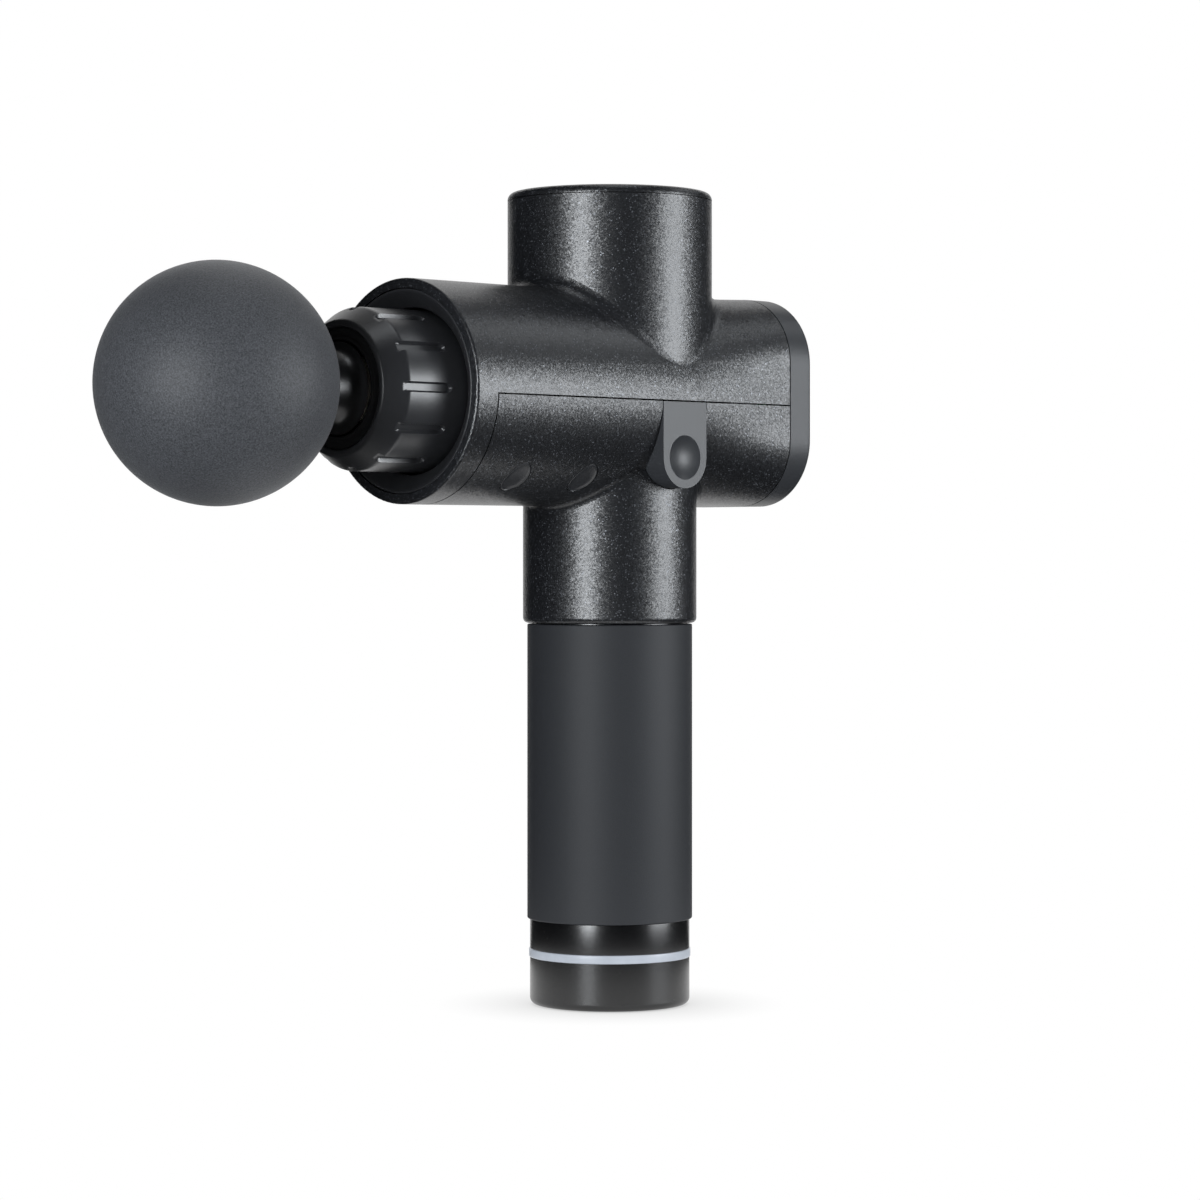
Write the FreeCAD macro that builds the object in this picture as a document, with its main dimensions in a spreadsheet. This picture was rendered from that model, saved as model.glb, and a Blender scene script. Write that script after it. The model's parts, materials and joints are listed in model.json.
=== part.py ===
"""Hand-held percussion massager with a barrel, a battery handle and a foam ball head.

The origin is the middle of the flat base, on the handle's axis. +Z is up, +X is
towards the ball head and +Y is the massager's left side. All sizes are millimetres.
"""
import FreeCAD, Part
import math
import os
import re
import Sketcher

document = FreeCAD.newDocument("MassageGun")
sheet = document.addObject("Spreadsheet::Sheet", "Sizes")

SIZES = [
    # barrel and shells
    ("axis_above_pack", 32.5, "barrel axis above the top of the battery pack"),
    ("barrel_radius", 32.0, "outside of the barrel"),
    ("nose_plane", 83.4, "front face of the barrel, in front of the handle axis"),
    ("nose_ring_width", 7.6, "ring that the upper shell closes round the front"),
    ("rear_seam", 44.7, "rear edge of the shells, behind the handle axis"),
    ("flare_start", 5.0, "where the barrel starts to square off, behind the handle axis"),
    ("rear_half_height", 31.5, "half the height of the squared rear end"),
    ("rear_corner", 20.0, "corner radius of the squared rear end"),
    ("shell_wall", 2.8, "wall of both shells"),
    ("seam_drop", 1.1, "parting plane below the barrel axis"),
    ("seam_gap", 0.45, "dark line between shells and caps"),
    ("crown_radius", 30.5, "upright motor cylinder"),
    ("crown_height", 61.6, "top of the motor cylinder above the barrel axis"),
    ("crown_lid_height", 2.6, "rim of the lid on the motor cylinder"),
    ("crown_edge", 2.2, "rounding of the lid"),
    ("crown_fillet", 5.0, "blend between motor cylinder and barrel"),
    ("nose_edge", 0.8, "rounding of the barrel's front edge"),
    ("neck_radius", 25.9, "neck above the handle"),
    ("neck_fillet", 2.5, "blend between neck and barrel"),
    ("neck_edge", 1.6, "rounding under the neck"),
    # rear cap, display and keys
    ("cap_depth", 10.0, "rear cap, front to back"),
    ("cap_wall", 2.4, "wall of the rear cap"),
    ("cap_edge", 1.5, "rounding round the rear face"),
    ("lens_half_width", 14.0, "display window, half width"),
    ("lens_half_height", 9.5, "display window, half height"),
    ("lens_thick", 1.0, "display window glass"),
    ("lens_rise", 9.0, "middle of the display above the barrel axis"),
    ("lens_ledge", 1.5, "ledge that the glass sits on"),
    ("key_radius", 4.0, "round keys"),
    ("key_pitch", 13.0, "distance between keys"),
    ("key_drop", 13.0, "keys below the barrel axis"),
    ("key_proud", 1.0, "keys standing out of the cap"),
    ("key_flange", 0.8, "thickness and width of a key's inner rim"),
    ("key_rest", 0.15, "gap between a key's rim and the wall in front of it"),
    ("key_clearance", 0.3, "gap round a key"),
    ("key_travel", 0.8, "how far a key goes in"),
    ("display_gap", 0.2, "gap between the display module and the cap's wall"),
    ("switch_side", 5.0, "body of a small push switch"),
    ("board_thick", 1.6, "all circuit boards"),
    ("panel_half_width", 26.0, "control board"),
    ("panel_half_height", 25.0, "control board"),
    ("panel_corner", 14.0, "control board"),
    ("panel_stand", 3.3, "posts between cap wall and control board"),
    ("post_radius", 2.2, "posts of the control board"),
    ("post_side", 20.0, "posts, from the middle sideways"),
    ("post_rise", 18.0, "posts, from the middle up and down"),
    ("drive_seat", 36.4, "drive board behind the handle axis"),
    ("drive_inset", 0.6, "gap between the drive board's ends and the barrel's wall"),
    ("drive_half_height", 10.5, "drive board"),
    ("chip_side", 6.0, "power chips on the drive board"),
    ("chip_pitch", 12.0, "distance between power chips"),
    ("chip_thick", 1.8, "power chips"),
    ("store_radius", 4.0, "storage capacitor"),
    ("store_length", 11.0, "storage capacitor"),
    # side covers and screw plugs
    ("tongue_middle", 0.85, "side cover's middle in front of the handle axis"),
    ("tongue_radius", 9.0, "rounded end of the side cover"),
    ("tongue_drop", 17.8, "centre of the rounded end below the barrel axis"),
    ("tongue_depth", 8.0, "thickness of the side cover"),
    ("tongue_gap", 0.3, "gap round the side cover"),
    ("dimple_radius", 6.5, "hollow in the side cover"),
    ("dimple_depth", 2.0, "hollow in the side cover"),
    ("screw_front", 58.1, "front pair of shell screws"),
    ("screw_rear", 31.5, "rear pair of shell screws"),
    ("screw_side", 20.3, "shell screws from the middle plane"),
    ("pocket_radius", 4.5, "screw pocket"),
    ("pocket_wall", 0.8, "wall round a screw pocket"),
    ("plug_gap", 0.15, "gap round a plug"),
    ("plug_thick", 3.0, "plug"),
    ("screw_radius", 1.5, "screw thread"),
    ("screw_head_radius", 2.9, "screw head"),
    ("screw_head_height", 2.2, "screw head"),
    ("screw_length", 14.0, "screw below its head"),
    ("screw_seat_drop", 7.0, "underside of the screw's head below the parting plane"),
    ("boss_radius", 4.2, "upper screw boss"),
    # nose
    ("liner_gap", 0.2, "gap round the nose liner"),
    ("liner_depth", 3.6, "how far the liner dishes in"),
    ("liner_thick", 1.6, "liner"),
    ("liner_skirt", 6.0, "rim of the liner, front to back"),
    ("collar_set", 9.0, "fluted collar inside the barrel's outside"),
    ("collar_gap", 0.7, "gap between collar and liner"),
    ("collar_edge", 100.5, "where the collar's bevel starts"),
    ("collar_front", 107.1, "front of the collar"),
    ("collar_mouth", 18.9, "collar's front edge"),
    ("collar_bore", 17.0, "inside of the collar"),
    ("collar_rear", 76.0, "rear of the collar"),
    ("flute_count", 12, "flutes round the collar"),
    ("flute_width", 2.5, "one flute"),
    ("flute_depth", 1.0, "one flute"),
    ("flute_start", 85.2, "rear end of the flutes"),
    ("seal_bore", 13.4, "dust seal"),
    ("seal_thick", 1.8, "dust seal"),
    ("seal_recess", 0.8, "dust seal behind the collar's front"),
    # head
    ("ball_radius", 33.2, "foam ball"),
    ("ball_centre", 149.9, "ball's centre in front of the handle axis"),
    ("stem_flange_radius", 13.0, "widest part of the head's stem"),
    ("stem_flange_rear", 104.0, "rear face of the stem's flange"),
    ("stem_flange_front", 107.6, "where the stem's hollow flank starts"),
    ("stem_waist", 8.6, "stem where it enters the ball"),
    ("stem_waist_front", 118.0, "where the flank ends"),
    ("stem_depth", 36.0, "how far the stem reaches into the ball"),
    ("stem_fit", 0.1, "gap between stem and foam"),
    ("spigot_length", 29.7, "part of the stem inside the plunger"),
    ("spigot_clearance", 0.3, "gap between spigot and plunger"),
    ("oring_minor", 0.9, "half the thickness of a sealing ring"),
    ("oring_fit", 0.06, "gap between sealing ring and plunger"),
    ("oring_first", 9.0, "first sealing ring behind the flange"),
    ("oring_pitch", 12.0, "distance between sealing rings"),
    ("head_gap", 0.3, "gap between the plunger's front and the flange"),
    # plunger, rod and guide
    ("plunger_radius", 9.0, "plunger"),
    ("wrist_back", 7.0, "wrist pin in front of the plunger's rear end"),
    ("socket_radius", 6.5, "bore in the plunger for the head"),
    ("socket_relief", 0.3, "bore beyond the end of the spigot"),
    ("fork_depth", 15.0, "slot for the rod in the plunger"),
    ("fork_clearance", 0.5, "slot above and below the rod"),
    ("running_fit", 0.05, "radial gap of a running fit"),
    ("bush_wall", 3.0, "plunger bushes"),
    ("bush_length", 8.0, "plunger bushes"),
    ("guide_rear", 46.0, "rear end of the guide"),
    ("guide_front", 86.0, "front end of the guide"),
    ("guide_wall", 2.4, "guide tube"),
    ("bulkhead_thick", 3.0, "discs that hold the guide in the barrel"),
    ("bulkhead_front", 70.0, "front face of the front disc"),
    ("bulkhead_gap", 0.15, "gap round the discs"),
    ("stroke", 12.0, "travel of the head"),
    ("rod_length", 34.0, "crank pin to wrist pin"),
    ("rod_thick", 6.0, "connecting rod"),
    ("rod_width", 8.0, "connecting rod's shank"),
    ("big_end_radius", 8.0, "rod's eye at the crank"),
    ("big_bore", 5.0, "bore of that eye"),
    ("small_end_radius", 5.6, "rod's eye at the plunger"),
    ("wrist_radius", 2.5, "wrist pin"),
    ("small_wall", 1.0, "bush in the small eye"),
    ("crank_pin_radius", 3.0, "crank pin"),
    ("crank_pin_gap", 0.3, "crank pin above the rod"),
    # crank and motor
    ("crank_rise", 5.0, "crank disc above the barrel axis"),
    ("crank_thick", 5.0, "crank disc"),
    ("crank_radius", 12.0, "crank disc"),
    ("weight_radius", 18.0, "counterweight"),
    ("weight_angle", 130.0, "counterweight, degrees round the crank"),
    ("weight_gap", 0.1, "gap between crank disc and counterweight"),
    ("shaft_radius", 2.5, "motor shaft"),
    ("bracket_rise", 12.0, "motor bracket above the barrel axis"),
    ("bracket_thick", 2.5, "motor bracket"),
    ("bracket_gap", 0.15, "gap round the bracket"),
    ("lower_race", 6.5, "outside of the lower bearing"),
    ("upper_race", 4.0, "outside of the upper bearing"),
    ("upper_bearing_length", 5.0, "upper bearing"),
    ("hub_radius", 6.0, "fixed tube that carries the stator"),
    ("hub_flange_radius", 12.0, "flange under that tube"),
    ("hub_flange_thick", 2.5, "flange under that tube"),
    ("hub_height", 29.0, "fixed tube above its flange"),
    ("stator_radius", 18.0, "stator"),
    ("stator_back", 9.0, "root of the stator's teeth"),
    ("stator_rise", 3.0, "stator above the flange"),
    ("stator_height", 22.0, "stator"),
    ("tooth_count", 12, "stator teeth"),
    ("tooth_width", 3.0, "one tooth"),
    ("shoe_width", 7.6, "tip of a tooth"),
    ("shoe_thick", 1.4, "tip of a tooth"),
    ("coil_build", 0.9, "thickness of a coil"),
    ("coil_gap", 0.05, "gap between coil and tooth"),
    ("air_gap", 0.4, "gap between stator and magnets"),
    ("magnet_count", 14, "magnets"),
    ("magnet_thick", 1.7, "magnets"),
    ("magnet_angle", 22.0, "one magnet, degrees"),
    ("can_wall", 1.9, "turning can"),
    ("can_lid", 2.5, "top of the can"),
    ("can_rise", 2.0, "lower edge of the can above the flange"),
    ("can_height", 31.0, "can below its lid"),
    ("shaft_above", 1.5, "shaft above the can"),
    ("bracket_screw_ring", 9.0, "screws through bracket and flange"),
    ("bracket_screw_radius", 1.2, "screws through bracket and flange"),
    # handle and battery
    ("grip_radius", 24.6, "rubber sleeve"),
    ("grip_bottom", 25.5, "lower edge of the sleeve"),
    ("grip_drop", 66.8, "upper edge of the sleeve below the barrel axis"),
    ("grip_gap", 0.3, "gap between sleeve and neck"),
    ("grip_edge", 0.5, "rounding of the sleeve's ends"),
    ("tube_radius", 22.6, "battery tube"),
    ("tube_wall", 2.0, "battery tube"),
    ("tube_fit", 0.1, "gap between the tube and what is round it"),
    ("band_radius", 23.8, "band and base"),
    ("base_edge", 2.0, "rounding under the base"),
    ("base_wall", 2.4, "base cup"),
    ("light_bottom", 14.1, "lower edge of the light ring"),
    ("light_height", 2.5, "light ring"),
    ("light_radius", 24.1, "light ring"),
    ("light_wall", 3.2, "light ring"),
    ("pack_lid_gap", 0.3, "gap between the upper strip and the pack's lid"),
    ("pack_lid_thick", 2.5, "lid of the pack"),
    ("cell_radius", 9.1, "one cell"),
    ("cell_height", 65.0, "one cell"),
    ("cell_pitch", 18.9, "distance between cells"),
    ("cell_floor", 13.4, "underside of the lower cells"),
    ("cell_layer_gap", 1.0, "between the two layers"),
    ("holder_gap", 0.1, "gap round a cell in its holder"),
    ("holder_thick", 8.0, "cell holders"),
    ("strip_thick", 0.3, "nickel strips"),
    ("strip_radius", 16.0, "nickel strips"),
    ("socket_board_thick", 2.4, "contact plate in the neck"),
    ("socket_board_gap", 0.5, "contact plate above the pack"),
    ("contact_gap", 0.1, "gap under the contact pins"),
    ("contact_radius", 1.4, "contact pins"),
    ("contact_pitch", 9.0, "distance between contact pins"),
    ("base_board_floor", 9.0, "underside of the base board"),
    ("base_board_radius", 20.4, "base board"),
    ("light_count", 8, "lamps behind the light ring"),
    ("light_side", 1.6, "one lamp"),
    ("light_ring_radius", 18.6, "circle that the lamps sit on"),
    ("base_ledge_width", 1.6, "ledge under the base board"),
    ("jack_place", 10.0, "charging socket in front of the middle"),
    ("jack_radius", 4.6, "charging socket"),
    ("jack_bore", 2.9, "charging socket"),
    ("jack_recess", 0.3, "charging socket above the base"),
    ("jack_floor", 1.2, "closed end of the charging socket"),
    ("jack_gap", 0.2, "gap round the charging socket"),
    ("jack_pin_radius", 1.0, "pin in the charging socket"),
    ("base_key_place", -8.0, "base key in front of the middle"),
    ("base_key_radius", 6.0, "base key"),
    ("base_key_recess", 0.5, "base key above the standing face"),
]

PLACES = {
    "axis_height": "pack_top + axis_above_pack",
    "seam_height": "axis_height - seam_drop",
    "crown_top": "axis_height + crown_height",
    "lid_seam": "crown_top - crown_lid_height",
    "grip_top": "axis_height - grip_drop",
    "neck_bottom": "grip_top + grip_gap",
    "barrel_bore": "barrel_radius - shell_wall",
    "crown_bore": "crown_radius - shell_wall",
    "neck_bore": "neck_radius - shell_wall",
    "ring_seam": "nose_plane - nose_ring_width",
    "cap_front": "-rear_seam - seam_gap",
    "cap_rear": "-rear_seam - cap_depth",
    "cap_inside": "cap_rear + cap_wall",
    "panel_rear": "cap_inside + panel_stand",
    "panel_front": "panel_rear + board_thick",
    "key_inner": "cap_inside + key_rest + key_flange",
    "tongue_outer": "barrel_radius",
    "tongue_top": "-seam_drop - seam_gap",
    "dimple_sphere": "(dimple_radius * dimple_radius + dimple_depth * dimple_depth) / (2 * dimple_depth)",
    "drive_half_width": "barrel_bore - drive_inset",
    "collar_radius": "barrel_radius - collar_set",
    "liner_radius": "barrel_bore - liner_gap",
    "liner_bore": "collar_radius + collar_gap",
    "liner_front": "nose_plane - liner_gap",
    "seal_front": "collar_front - seal_recess",
    "spigot_radius": "socket_radius - spigot_clearance",
    "spigot_tip": "stem_flange_rear - spigot_length",
    "oring_major": "socket_radius - oring_fit - oring_minor",
    "oring_groove": "oring_major - oring_minor - stem_fit",
    "plunger_front": "stem_flange_rear - head_gap",
    "bush_bore": "plunger_radius + running_fit",
    "bush_radius": "bush_bore + bush_wall",
    "guide_radius": "bush_radius + guide_wall",
    "throw": "stroke / 2",
    "wrist_place": "throw + rod_length",
    "plunger_rear": "wrist_place - wrist_back",
    "small_bore": "wrist_radius + running_fit",
    "small_bush_radius": "small_bore + small_wall",
    "crank_floor": "axis_height + crank_rise",
    "crank_ceiling": "crank_floor + crank_thick",
    "bracket_floor": "axis_height + bracket_rise",
    "bracket_ceiling": "bracket_floor + bracket_thick",
    "flange_ceiling": "bracket_ceiling + hub_flange_thick",
    "hub_ceiling": "flange_ceiling + hub_height",
    "stator_floor": "flange_ceiling + stator_rise",
    "stator_ceiling": "stator_floor + stator_height",
    "magnet_bore": "stator_radius + air_gap",
    "magnet_radius": "magnet_bore + magnet_thick",
    "can_floor": "flange_ceiling + can_rise",
    "can_ceiling": "can_floor + can_height",
    "can_radius": "magnet_radius + coil_gap + can_wall",
    "light_top": "light_bottom + light_height",
    "tube_bore": "tube_radius - tube_wall",
    "cell_ring": "cell_pitch / sqrt(3)",
    "upper_cell_floor": "cell_floor + cell_height + cell_layer_gap",
    "upper_cell_top": "upper_cell_floor + cell_height",
    "pack_lid_floor": "upper_cell_top + strip_thick + pack_lid_gap",
    "pack_top": "pack_lid_floor + pack_lid_thick",
    "contact_plate_floor": "pack_top + socket_board_gap",
    "base_board_top": "base_board_floor + board_thick",
    "base_key_floor": "base_key_recess",
    "base_key_inner": "base_wall + key_rest + key_flange",
}

WORD = re.compile(r"[a-z]+(?:_[a-z]+)+|throw|stroke")

for row, (alias, amount, note) in enumerate(SIZES, 1):
    sheet.set(f"A{row}", note)
    sheet.set(f"B{row}", str(amount))
    sheet.setAlias(f"B{row}", alias)
document.recompute()

pieces = []


def spelled(expression):
    """An expression in the sheet's own names, with each named place written out."""
    def one(word):
        name = word[0]
        return f"({spelled(PLACES[name])})" if name in PLACES else f"Sizes.{name}"
    return WORD.sub(one, str(expression))


def amount_of(expression):
    """The number that an expression comes to."""
    return float(sheet.evalExpression(spelled(expression)))


def bind(item, field, expression):
    """Ties one field of an object to the sheet."""
    item.setExpression(field, spelled(expression))


def piece(item, label):
    """Registers a finished sub-part under its own name."""
    item.Label = label
    pieces.append(item)
    return item


def sketch_on(body, plane, corners, offset="0"):
    """A closed outline of straight lines, each corner bound to the sheet."""
    sketch = body.newObject("Sketcher::SketchObject", body.Name + "_outline")
    face = [item for item in body.Origin.OriginFeatures if item.Role == plane][0]
    sketch.AttachmentSupport = [(face, "")]
    sketch.MapMode = "FlatFace"
    bind(sketch, "AttachmentOffset.Base.z", offset)
    spots = [FreeCAD.Vector(amount_of(across), amount_of(along), 0) for across, along in corners]
    count = len(spots)
    for index, spot in enumerate(spots):
        sketch.addGeometry(Part.LineSegment(spot, spots[(index + 1) % count]), False)
    for index in range(count):
        sketch.addConstraint(Sketcher.Constraint("Coincident", index, 2, (index + 1) % count, 1))
    for index, (across, along) in enumerate(corners):
        for kind, expression in (("DistanceX", across), ("DistanceY", along)):
            rule = sketch.addConstraint(Sketcher.Constraint(kind, index, 1, amount_of(expression)))
            if WORD.search(expression):
                bind(sketch, f"Constraints[{rule}]", expression)
    return sketch


def turned(name, corners, about="up"):
    """A solid turned about the handle axis ("up") or the barrel axis ("forward").

    Corners are (radius, height) for the handle and (place, radius) for the barrel.
    """
    body = document.addObject("PartDesign::Body", name)
    sketch = sketch_on(body, "XZ_Plane", corners)
    turn = body.newObject("PartDesign::Revolution", name + "_turn")
    turn.Profile = sketch
    turn.ReferenceAxis = (sketch, ["V_Axis" if about == "up" else "H_Axis"])
    turn.Angle = 360
    if about == "forward":
        bind(body, "Placement.Base.z", "axis_height")
    return body


def ring(name, outer, inner, low, high, about="up"):
    """A plain ring or disc between two heights, or two places along the barrel."""
    if about == "up":
        corners = [(inner, low), (outer, low), (outer, high), (inner, high)]
    else:
        corners = [(low, inner), (high, inner), (high, outer), (low, outer)]
    return turned(name, corners, about)


def slab(name, plane, corners, low, high):
    """A plate with a straight-sided outline, from low to high along the plane's normal."""
    body = document.addObject("PartDesign::Body", name)
    sketch = sketch_on(body, plane, corners, low)
    pad = body.newObject("PartDesign::Pad", name + "_pad")
    pad.Profile = sketch
    bind(pad, "Length", f"({high}) - ({low})")
    return body


def soften(body, wanted, radius):
    """Rounds the edges of a body that the test picks out."""
    document.recompute()
    base = body.Tip
    names = [f"Edge{index}" for index, edge in enumerate(base.Shape.Edges, 1) if wanted(edge)]
    fillet = body.newObject("PartDesign::Fillet", body.Name + "_round")
    fillet.Base = (base, names)
    bind(fillet, "Radius", radius)
    return body


def rounded_plate(name, half_width, half_height, corner, low, high, rise="0"):
    """A plate square to the barrel, with rounded corners, between two places along it."""
    left, right = f"-({half_width})", half_width
    bottom, top = f"({rise}) - ({half_height})", f"({rise}) + ({half_height})"
    corners = [(left, bottom), (right, bottom), (right, top), (left, top)]
    body = slab(name, "YZ_Plane", corners, low, high)
    soften(body, runs_forward, corner)
    bind(body, "Placement.Base.z", "axis_height")
    return body


def runs_forward(edge):
    """Whether a straight edge lies along X."""
    return isinstance(edge.Curve, Part.Line) and abs(edge.Curve.Direction.x) > 0.99


def rim_at(place, direction="z"):
    """A test for the edges that lie wholly at one height or place."""
    def wanted(edge):
        return all(abs(getattr(spot.Point, direction) - place) < 1e-4 for spot in edge.Vertexes) \
            and abs(getattr(edge.CenterOfMass, direction) - place) < 1e-4
    return wanted


TURNS = {
    "up": FreeCAD.Rotation(),
    "forward": FreeCAD.Rotation(FreeCAD.Vector(0, 1, 0), 90),
    "sideways": FreeCAD.Rotation(FreeCAD.Vector(1, 0, 0), -90),
}


def put(item, across, along, rise):
    """Binds an object's place."""
    for field, expression in (("x", across), ("y", along), ("z", rise)):
        bind(item, "Placement.Base." + field, expression)
    return item


def bar(name, radius, low, high, centre=("0", "0"), about="up"):
    """A round bar from low to high along its own direction."""
    item = document.addObject("Part::Cylinder", name)
    item.Placement.Rotation = TURNS[about]
    bind(item, "Radius", radius)
    bind(item, "Height", f"({high}) - ({low})")
    spots = {"up": (*centre, low), "forward": (low, *centre), "sideways": (centre[0], low, centre[1])}
    return put(item, *spots[about])


def block(name, across, along, rise):
    """A box between pairs of places on the three axes."""
    item = document.addObject("Part::Box", name)
    for field, (low, high) in (("Length", across), ("Width", along), ("Height", rise)):
        bind(item, field, f"({high}) - ({low})")
    return put(item, across[0], along[0], rise[0])


def joined(name, items):
    """One solid made of several."""
    if len(items) == 1:
        return items[0]
    item = document.addObject("Part::MultiFuse", name)
    item.Shapes = items
    return item


def shared(name, items):
    """What several solids have in common."""
    item = document.addObject("Part::MultiCommon", name)
    item.Shapes = items
    return item


def without(name, base, tools):
    """A solid with others cut away."""
    item = document.addObject("Part::Cut", name)
    item.Base = base
    item.Tool = joined(name + "_tools", tools)
    return item


def together(name, items):
    """Separate solids kept as one group."""
    item = document.addObject("Part::Compound", name)
    item.Links = items
    return item


def computed(name, shape):
    """A shape worked out from the sheet's sizes."""
    item = document.addObject("Part::Feature", name)
    item.Shape = shape
    item.Placement = FreeCAD.Placement()
    return item


def ring_of(shape, count):
    """Copies of a shape spaced evenly round the handle axis."""
    copies = []
    for index in range(count):
        copy = shape.copy()
        copy.rotate(FreeCAD.Vector(), FreeCAD.Vector(0, 0, 1), 360 * index / count)
        copies.append(copy)
    return Part.makeCompound(copies)


def sector(inner, outer, low, high, angle):
    """Part of a ring, centred on +X."""
    start = FreeCAD.Vector(0, 0, low)
    up = FreeCAD.Vector(0, 0, 1)
    solid = Part.makeCylinder(outer, high - low, start, up, angle)
    solid = solid.cut(Part.makeCylinder(inner, high - low, start, up))
    solid.rotate(FreeCAD.Vector(), up, -angle / 2)
    return solid


# ---- squared rear end of the shells ----------------------------------------------

def eight_sided_wire(place, half_width, half_height, corner, round_radius=None):
    """A rounded rectangle, or the circle that matches it edge for edge."""
    flat_y = half_width - corner
    flat_z = half_height - corner
    diagonal = corner * math.sqrt(0.5)
    knots = []
    for side_y, side_z, order in ((1, 1, 1), (-1, 1, -1), (-1, -1, 1), (1, -1, -1)):
        spots = [
            (side_y * half_width, side_z * flat_z),
            (side_y * (flat_y + diagonal), side_z * (flat_z + diagonal)),
            (side_y * flat_y, side_z * half_height),
        ]
        knots.append(spots[::order])
    if round_radius:
        knots = [[scaled_to(spot, round_radius) for spot in spots] for spots in knots]
    edges = []
    for index, spots in enumerate(knots):
        first, middle, last = [FreeCAD.Vector(place, *spot) for spot in spots]
        edges.append(Part.Arc(first, middle, last).toShape())
        following = knots[(index + 1) % 4][0]
        start = FreeCAD.Vector(place, *following)
        if round_radius:
            halfway = [(here + there) / 2 for here, there in zip(spots[2], following)]
            between = scaled_to(halfway, round_radius)
            edges.append(Part.Arc(last, FreeCAD.Vector(place, *between), start).toShape())
        else:
            edges.append(Part.makeLine(last, start))
    return Part.Wire(edges)


def scaled_to(spot, radius):
    """The point at a radius in the direction of a spot."""
    stretch = radius / math.hypot(*spot)
    return (spot[0] * stretch, spot[1] * stretch)


def rear_end(name, inset):
    """Blends from the barrel's circle behind the handle axis to the squared rear edge."""
    radius = amount_of("barrel_radius") - inset
    half_height = amount_of("rear_half_height") - inset
    corner = amount_of("rear_corner") - inset
    square = eight_sided_wire(-amount_of("rear_seam"), radius, half_height, corner)
    circle = eight_sided_wire(-amount_of("flare_start"), radius, half_height, corner, radius)
    item = computed(name, Part.makeLoft([square, circle], True, True))
    bind(item, "Placement.Base.z", "axis_height")
    return item


def shell_form():
    """The whole outer form, with its blends."""
    parts = [
        bar("barrel_form", "barrel_radius", "-flare_start", "nose_plane", ("0", "axis_height"), "forward"),
        rear_end("rear_form", 0.0),
        bar("crown_form", "crown_radius", "axis_height", "lid_seam"),
        bar("neck_form", "neck_radius", "neck_bottom", "axis_height"),
    ]
    form = joined("sharp_form", parts)
    document.recompute()
    rounded = document.addObject("Part::Fillet", "shell_form")
    rounded.Base = form
    radii = [blend_radius(edge) for edge in form.Shape.Edges]
    rounded.Edges = [(index, radius, radius) for index, radius in enumerate(radii, 1) if radius]
    return rounded


def blend_radius(edge):
    """The rounding of an edge of the sharp outer form, or none."""
    middle = amount_of("axis_height")
    spots = edge.discretize(5)

    def lies_on(alias):
        return all(abs(math.hypot(spot.x, spot.y) - amount_of(alias)) < 1e-3 for spot in spots)

    upright = isinstance(edge.Curve, Part.Line)
    centre = edge.CenterOfMass
    if upright or edge.Length < 1e-3:
        return None
    if all(abs(spot.x - amount_of("nose_plane")) < 1e-3 for spot in spots):
        return amount_of("nose_edge")
    if lies_on("crown_radius") and middle < centre.z < middle + amount_of("barrel_radius"):
        return amount_of("crown_fillet")
    if lies_on("neck_radius") and abs(centre.z - amount_of("neck_bottom")) < 1e-3:
        return amount_of("neck_edge")
    if lies_on("neck_radius") and centre.z < middle:
        return amount_of("neck_fillet")
    return None


def shell_cavity():
    """The hollow inside both shells."""
    parts = [
        bar("barrel_hollow", "barrel_bore", "-flare_start", "nose_plane + shell_wall",
            ("0", "axis_height"), "forward"),
        rear_end("rear_hollow", amount_of("shell_wall")),
        bar("crown_hollow", "crown_bore", "axis_height", "lid_seam + shell_wall"),
        bar("neck_hollow", "neck_bore", "neck_bottom - shell_wall", "axis_height"),
    ]
    return joined("shell_hollow", parts)


# ---- shells, screws and plugs -------------------------------------------------------

outer = shell_form()
hollow = shell_cavity()
width_reach = ("-2 * barrel_radius", "2 * barrel_radius")
lower_room = block("lower_room", ("-2 * rear_seam", "ring_seam - seam_gap"), width_reach,
                   ("0", "seam_height - seam_gap"))
upper_gap = block("upper_gap", ("-2 * rear_seam", "ring_seam"), width_reach, ("0", "seam_height"))

screw_spots = [(place, side) for place in ("screw_rear", "screw_front")
               for side in ("-screw_side", "screw_side")]
lower_bosses = []
lower_cuts = []
upper_bosses = []
upper_cuts = []
plugs = []
screws = []
plug_skin = bar("plug_skin", "barrel_radius - plug_gap", "0", "nose_plane", ("0", "axis_height"), "forward")
plug_core = bar("plug_core", "barrel_radius - plug_thick", "-seam_gap", "nose_plane + seam_gap",
                ("0", "axis_height"), "forward")
plug_sheet = without("plug_sheet", plug_skin, [plug_core])
head_seat = "seam_height - screw_seat_drop"
for number, spot in enumerate(screw_spots, 1):
    wall = "pocket_radius + pocket_wall"
    lower_bosses.append(bar(f"lower_boss_{number}", wall, "0", "seam_height - seam_gap", spot))
    lower_cuts.append(bar(f"pocket_{number}", "pocket_radius", "0", head_seat, spot))
    lower_cuts.append(bar(f"screw_way_{number}", "screw_radius + seam_gap", head_seat, "seam_height", spot))
    upper_bosses.append(bar(f"upper_boss_{number}", "boss_radius", "seam_height", "crown_top", spot))
    pilot_top = f"{head_seat} + screw_length + seam_gap"
    upper_cuts.append(bar(f"pilot_{number}", "screw_radius + plug_gap", "seam_height", pilot_top, spot))
    head = bar(f"screw_head_{number}", "screw_head_radius", f"{head_seat} - screw_head_height", head_seat,
               spot)
    shank = bar(f"screw_shank_{number}", "screw_radius", head_seat, f"{head_seat} + screw_length", spot)
    screws.append(joined(f"shell_screw_{number}", [head, shank]))
    column = bar(f"plug_column_{number}", "pocket_radius - plug_gap", "0", "seam_height", spot)
    plugs.append(shared(f"plug_{number}", [column, plug_sheet]))


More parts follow.
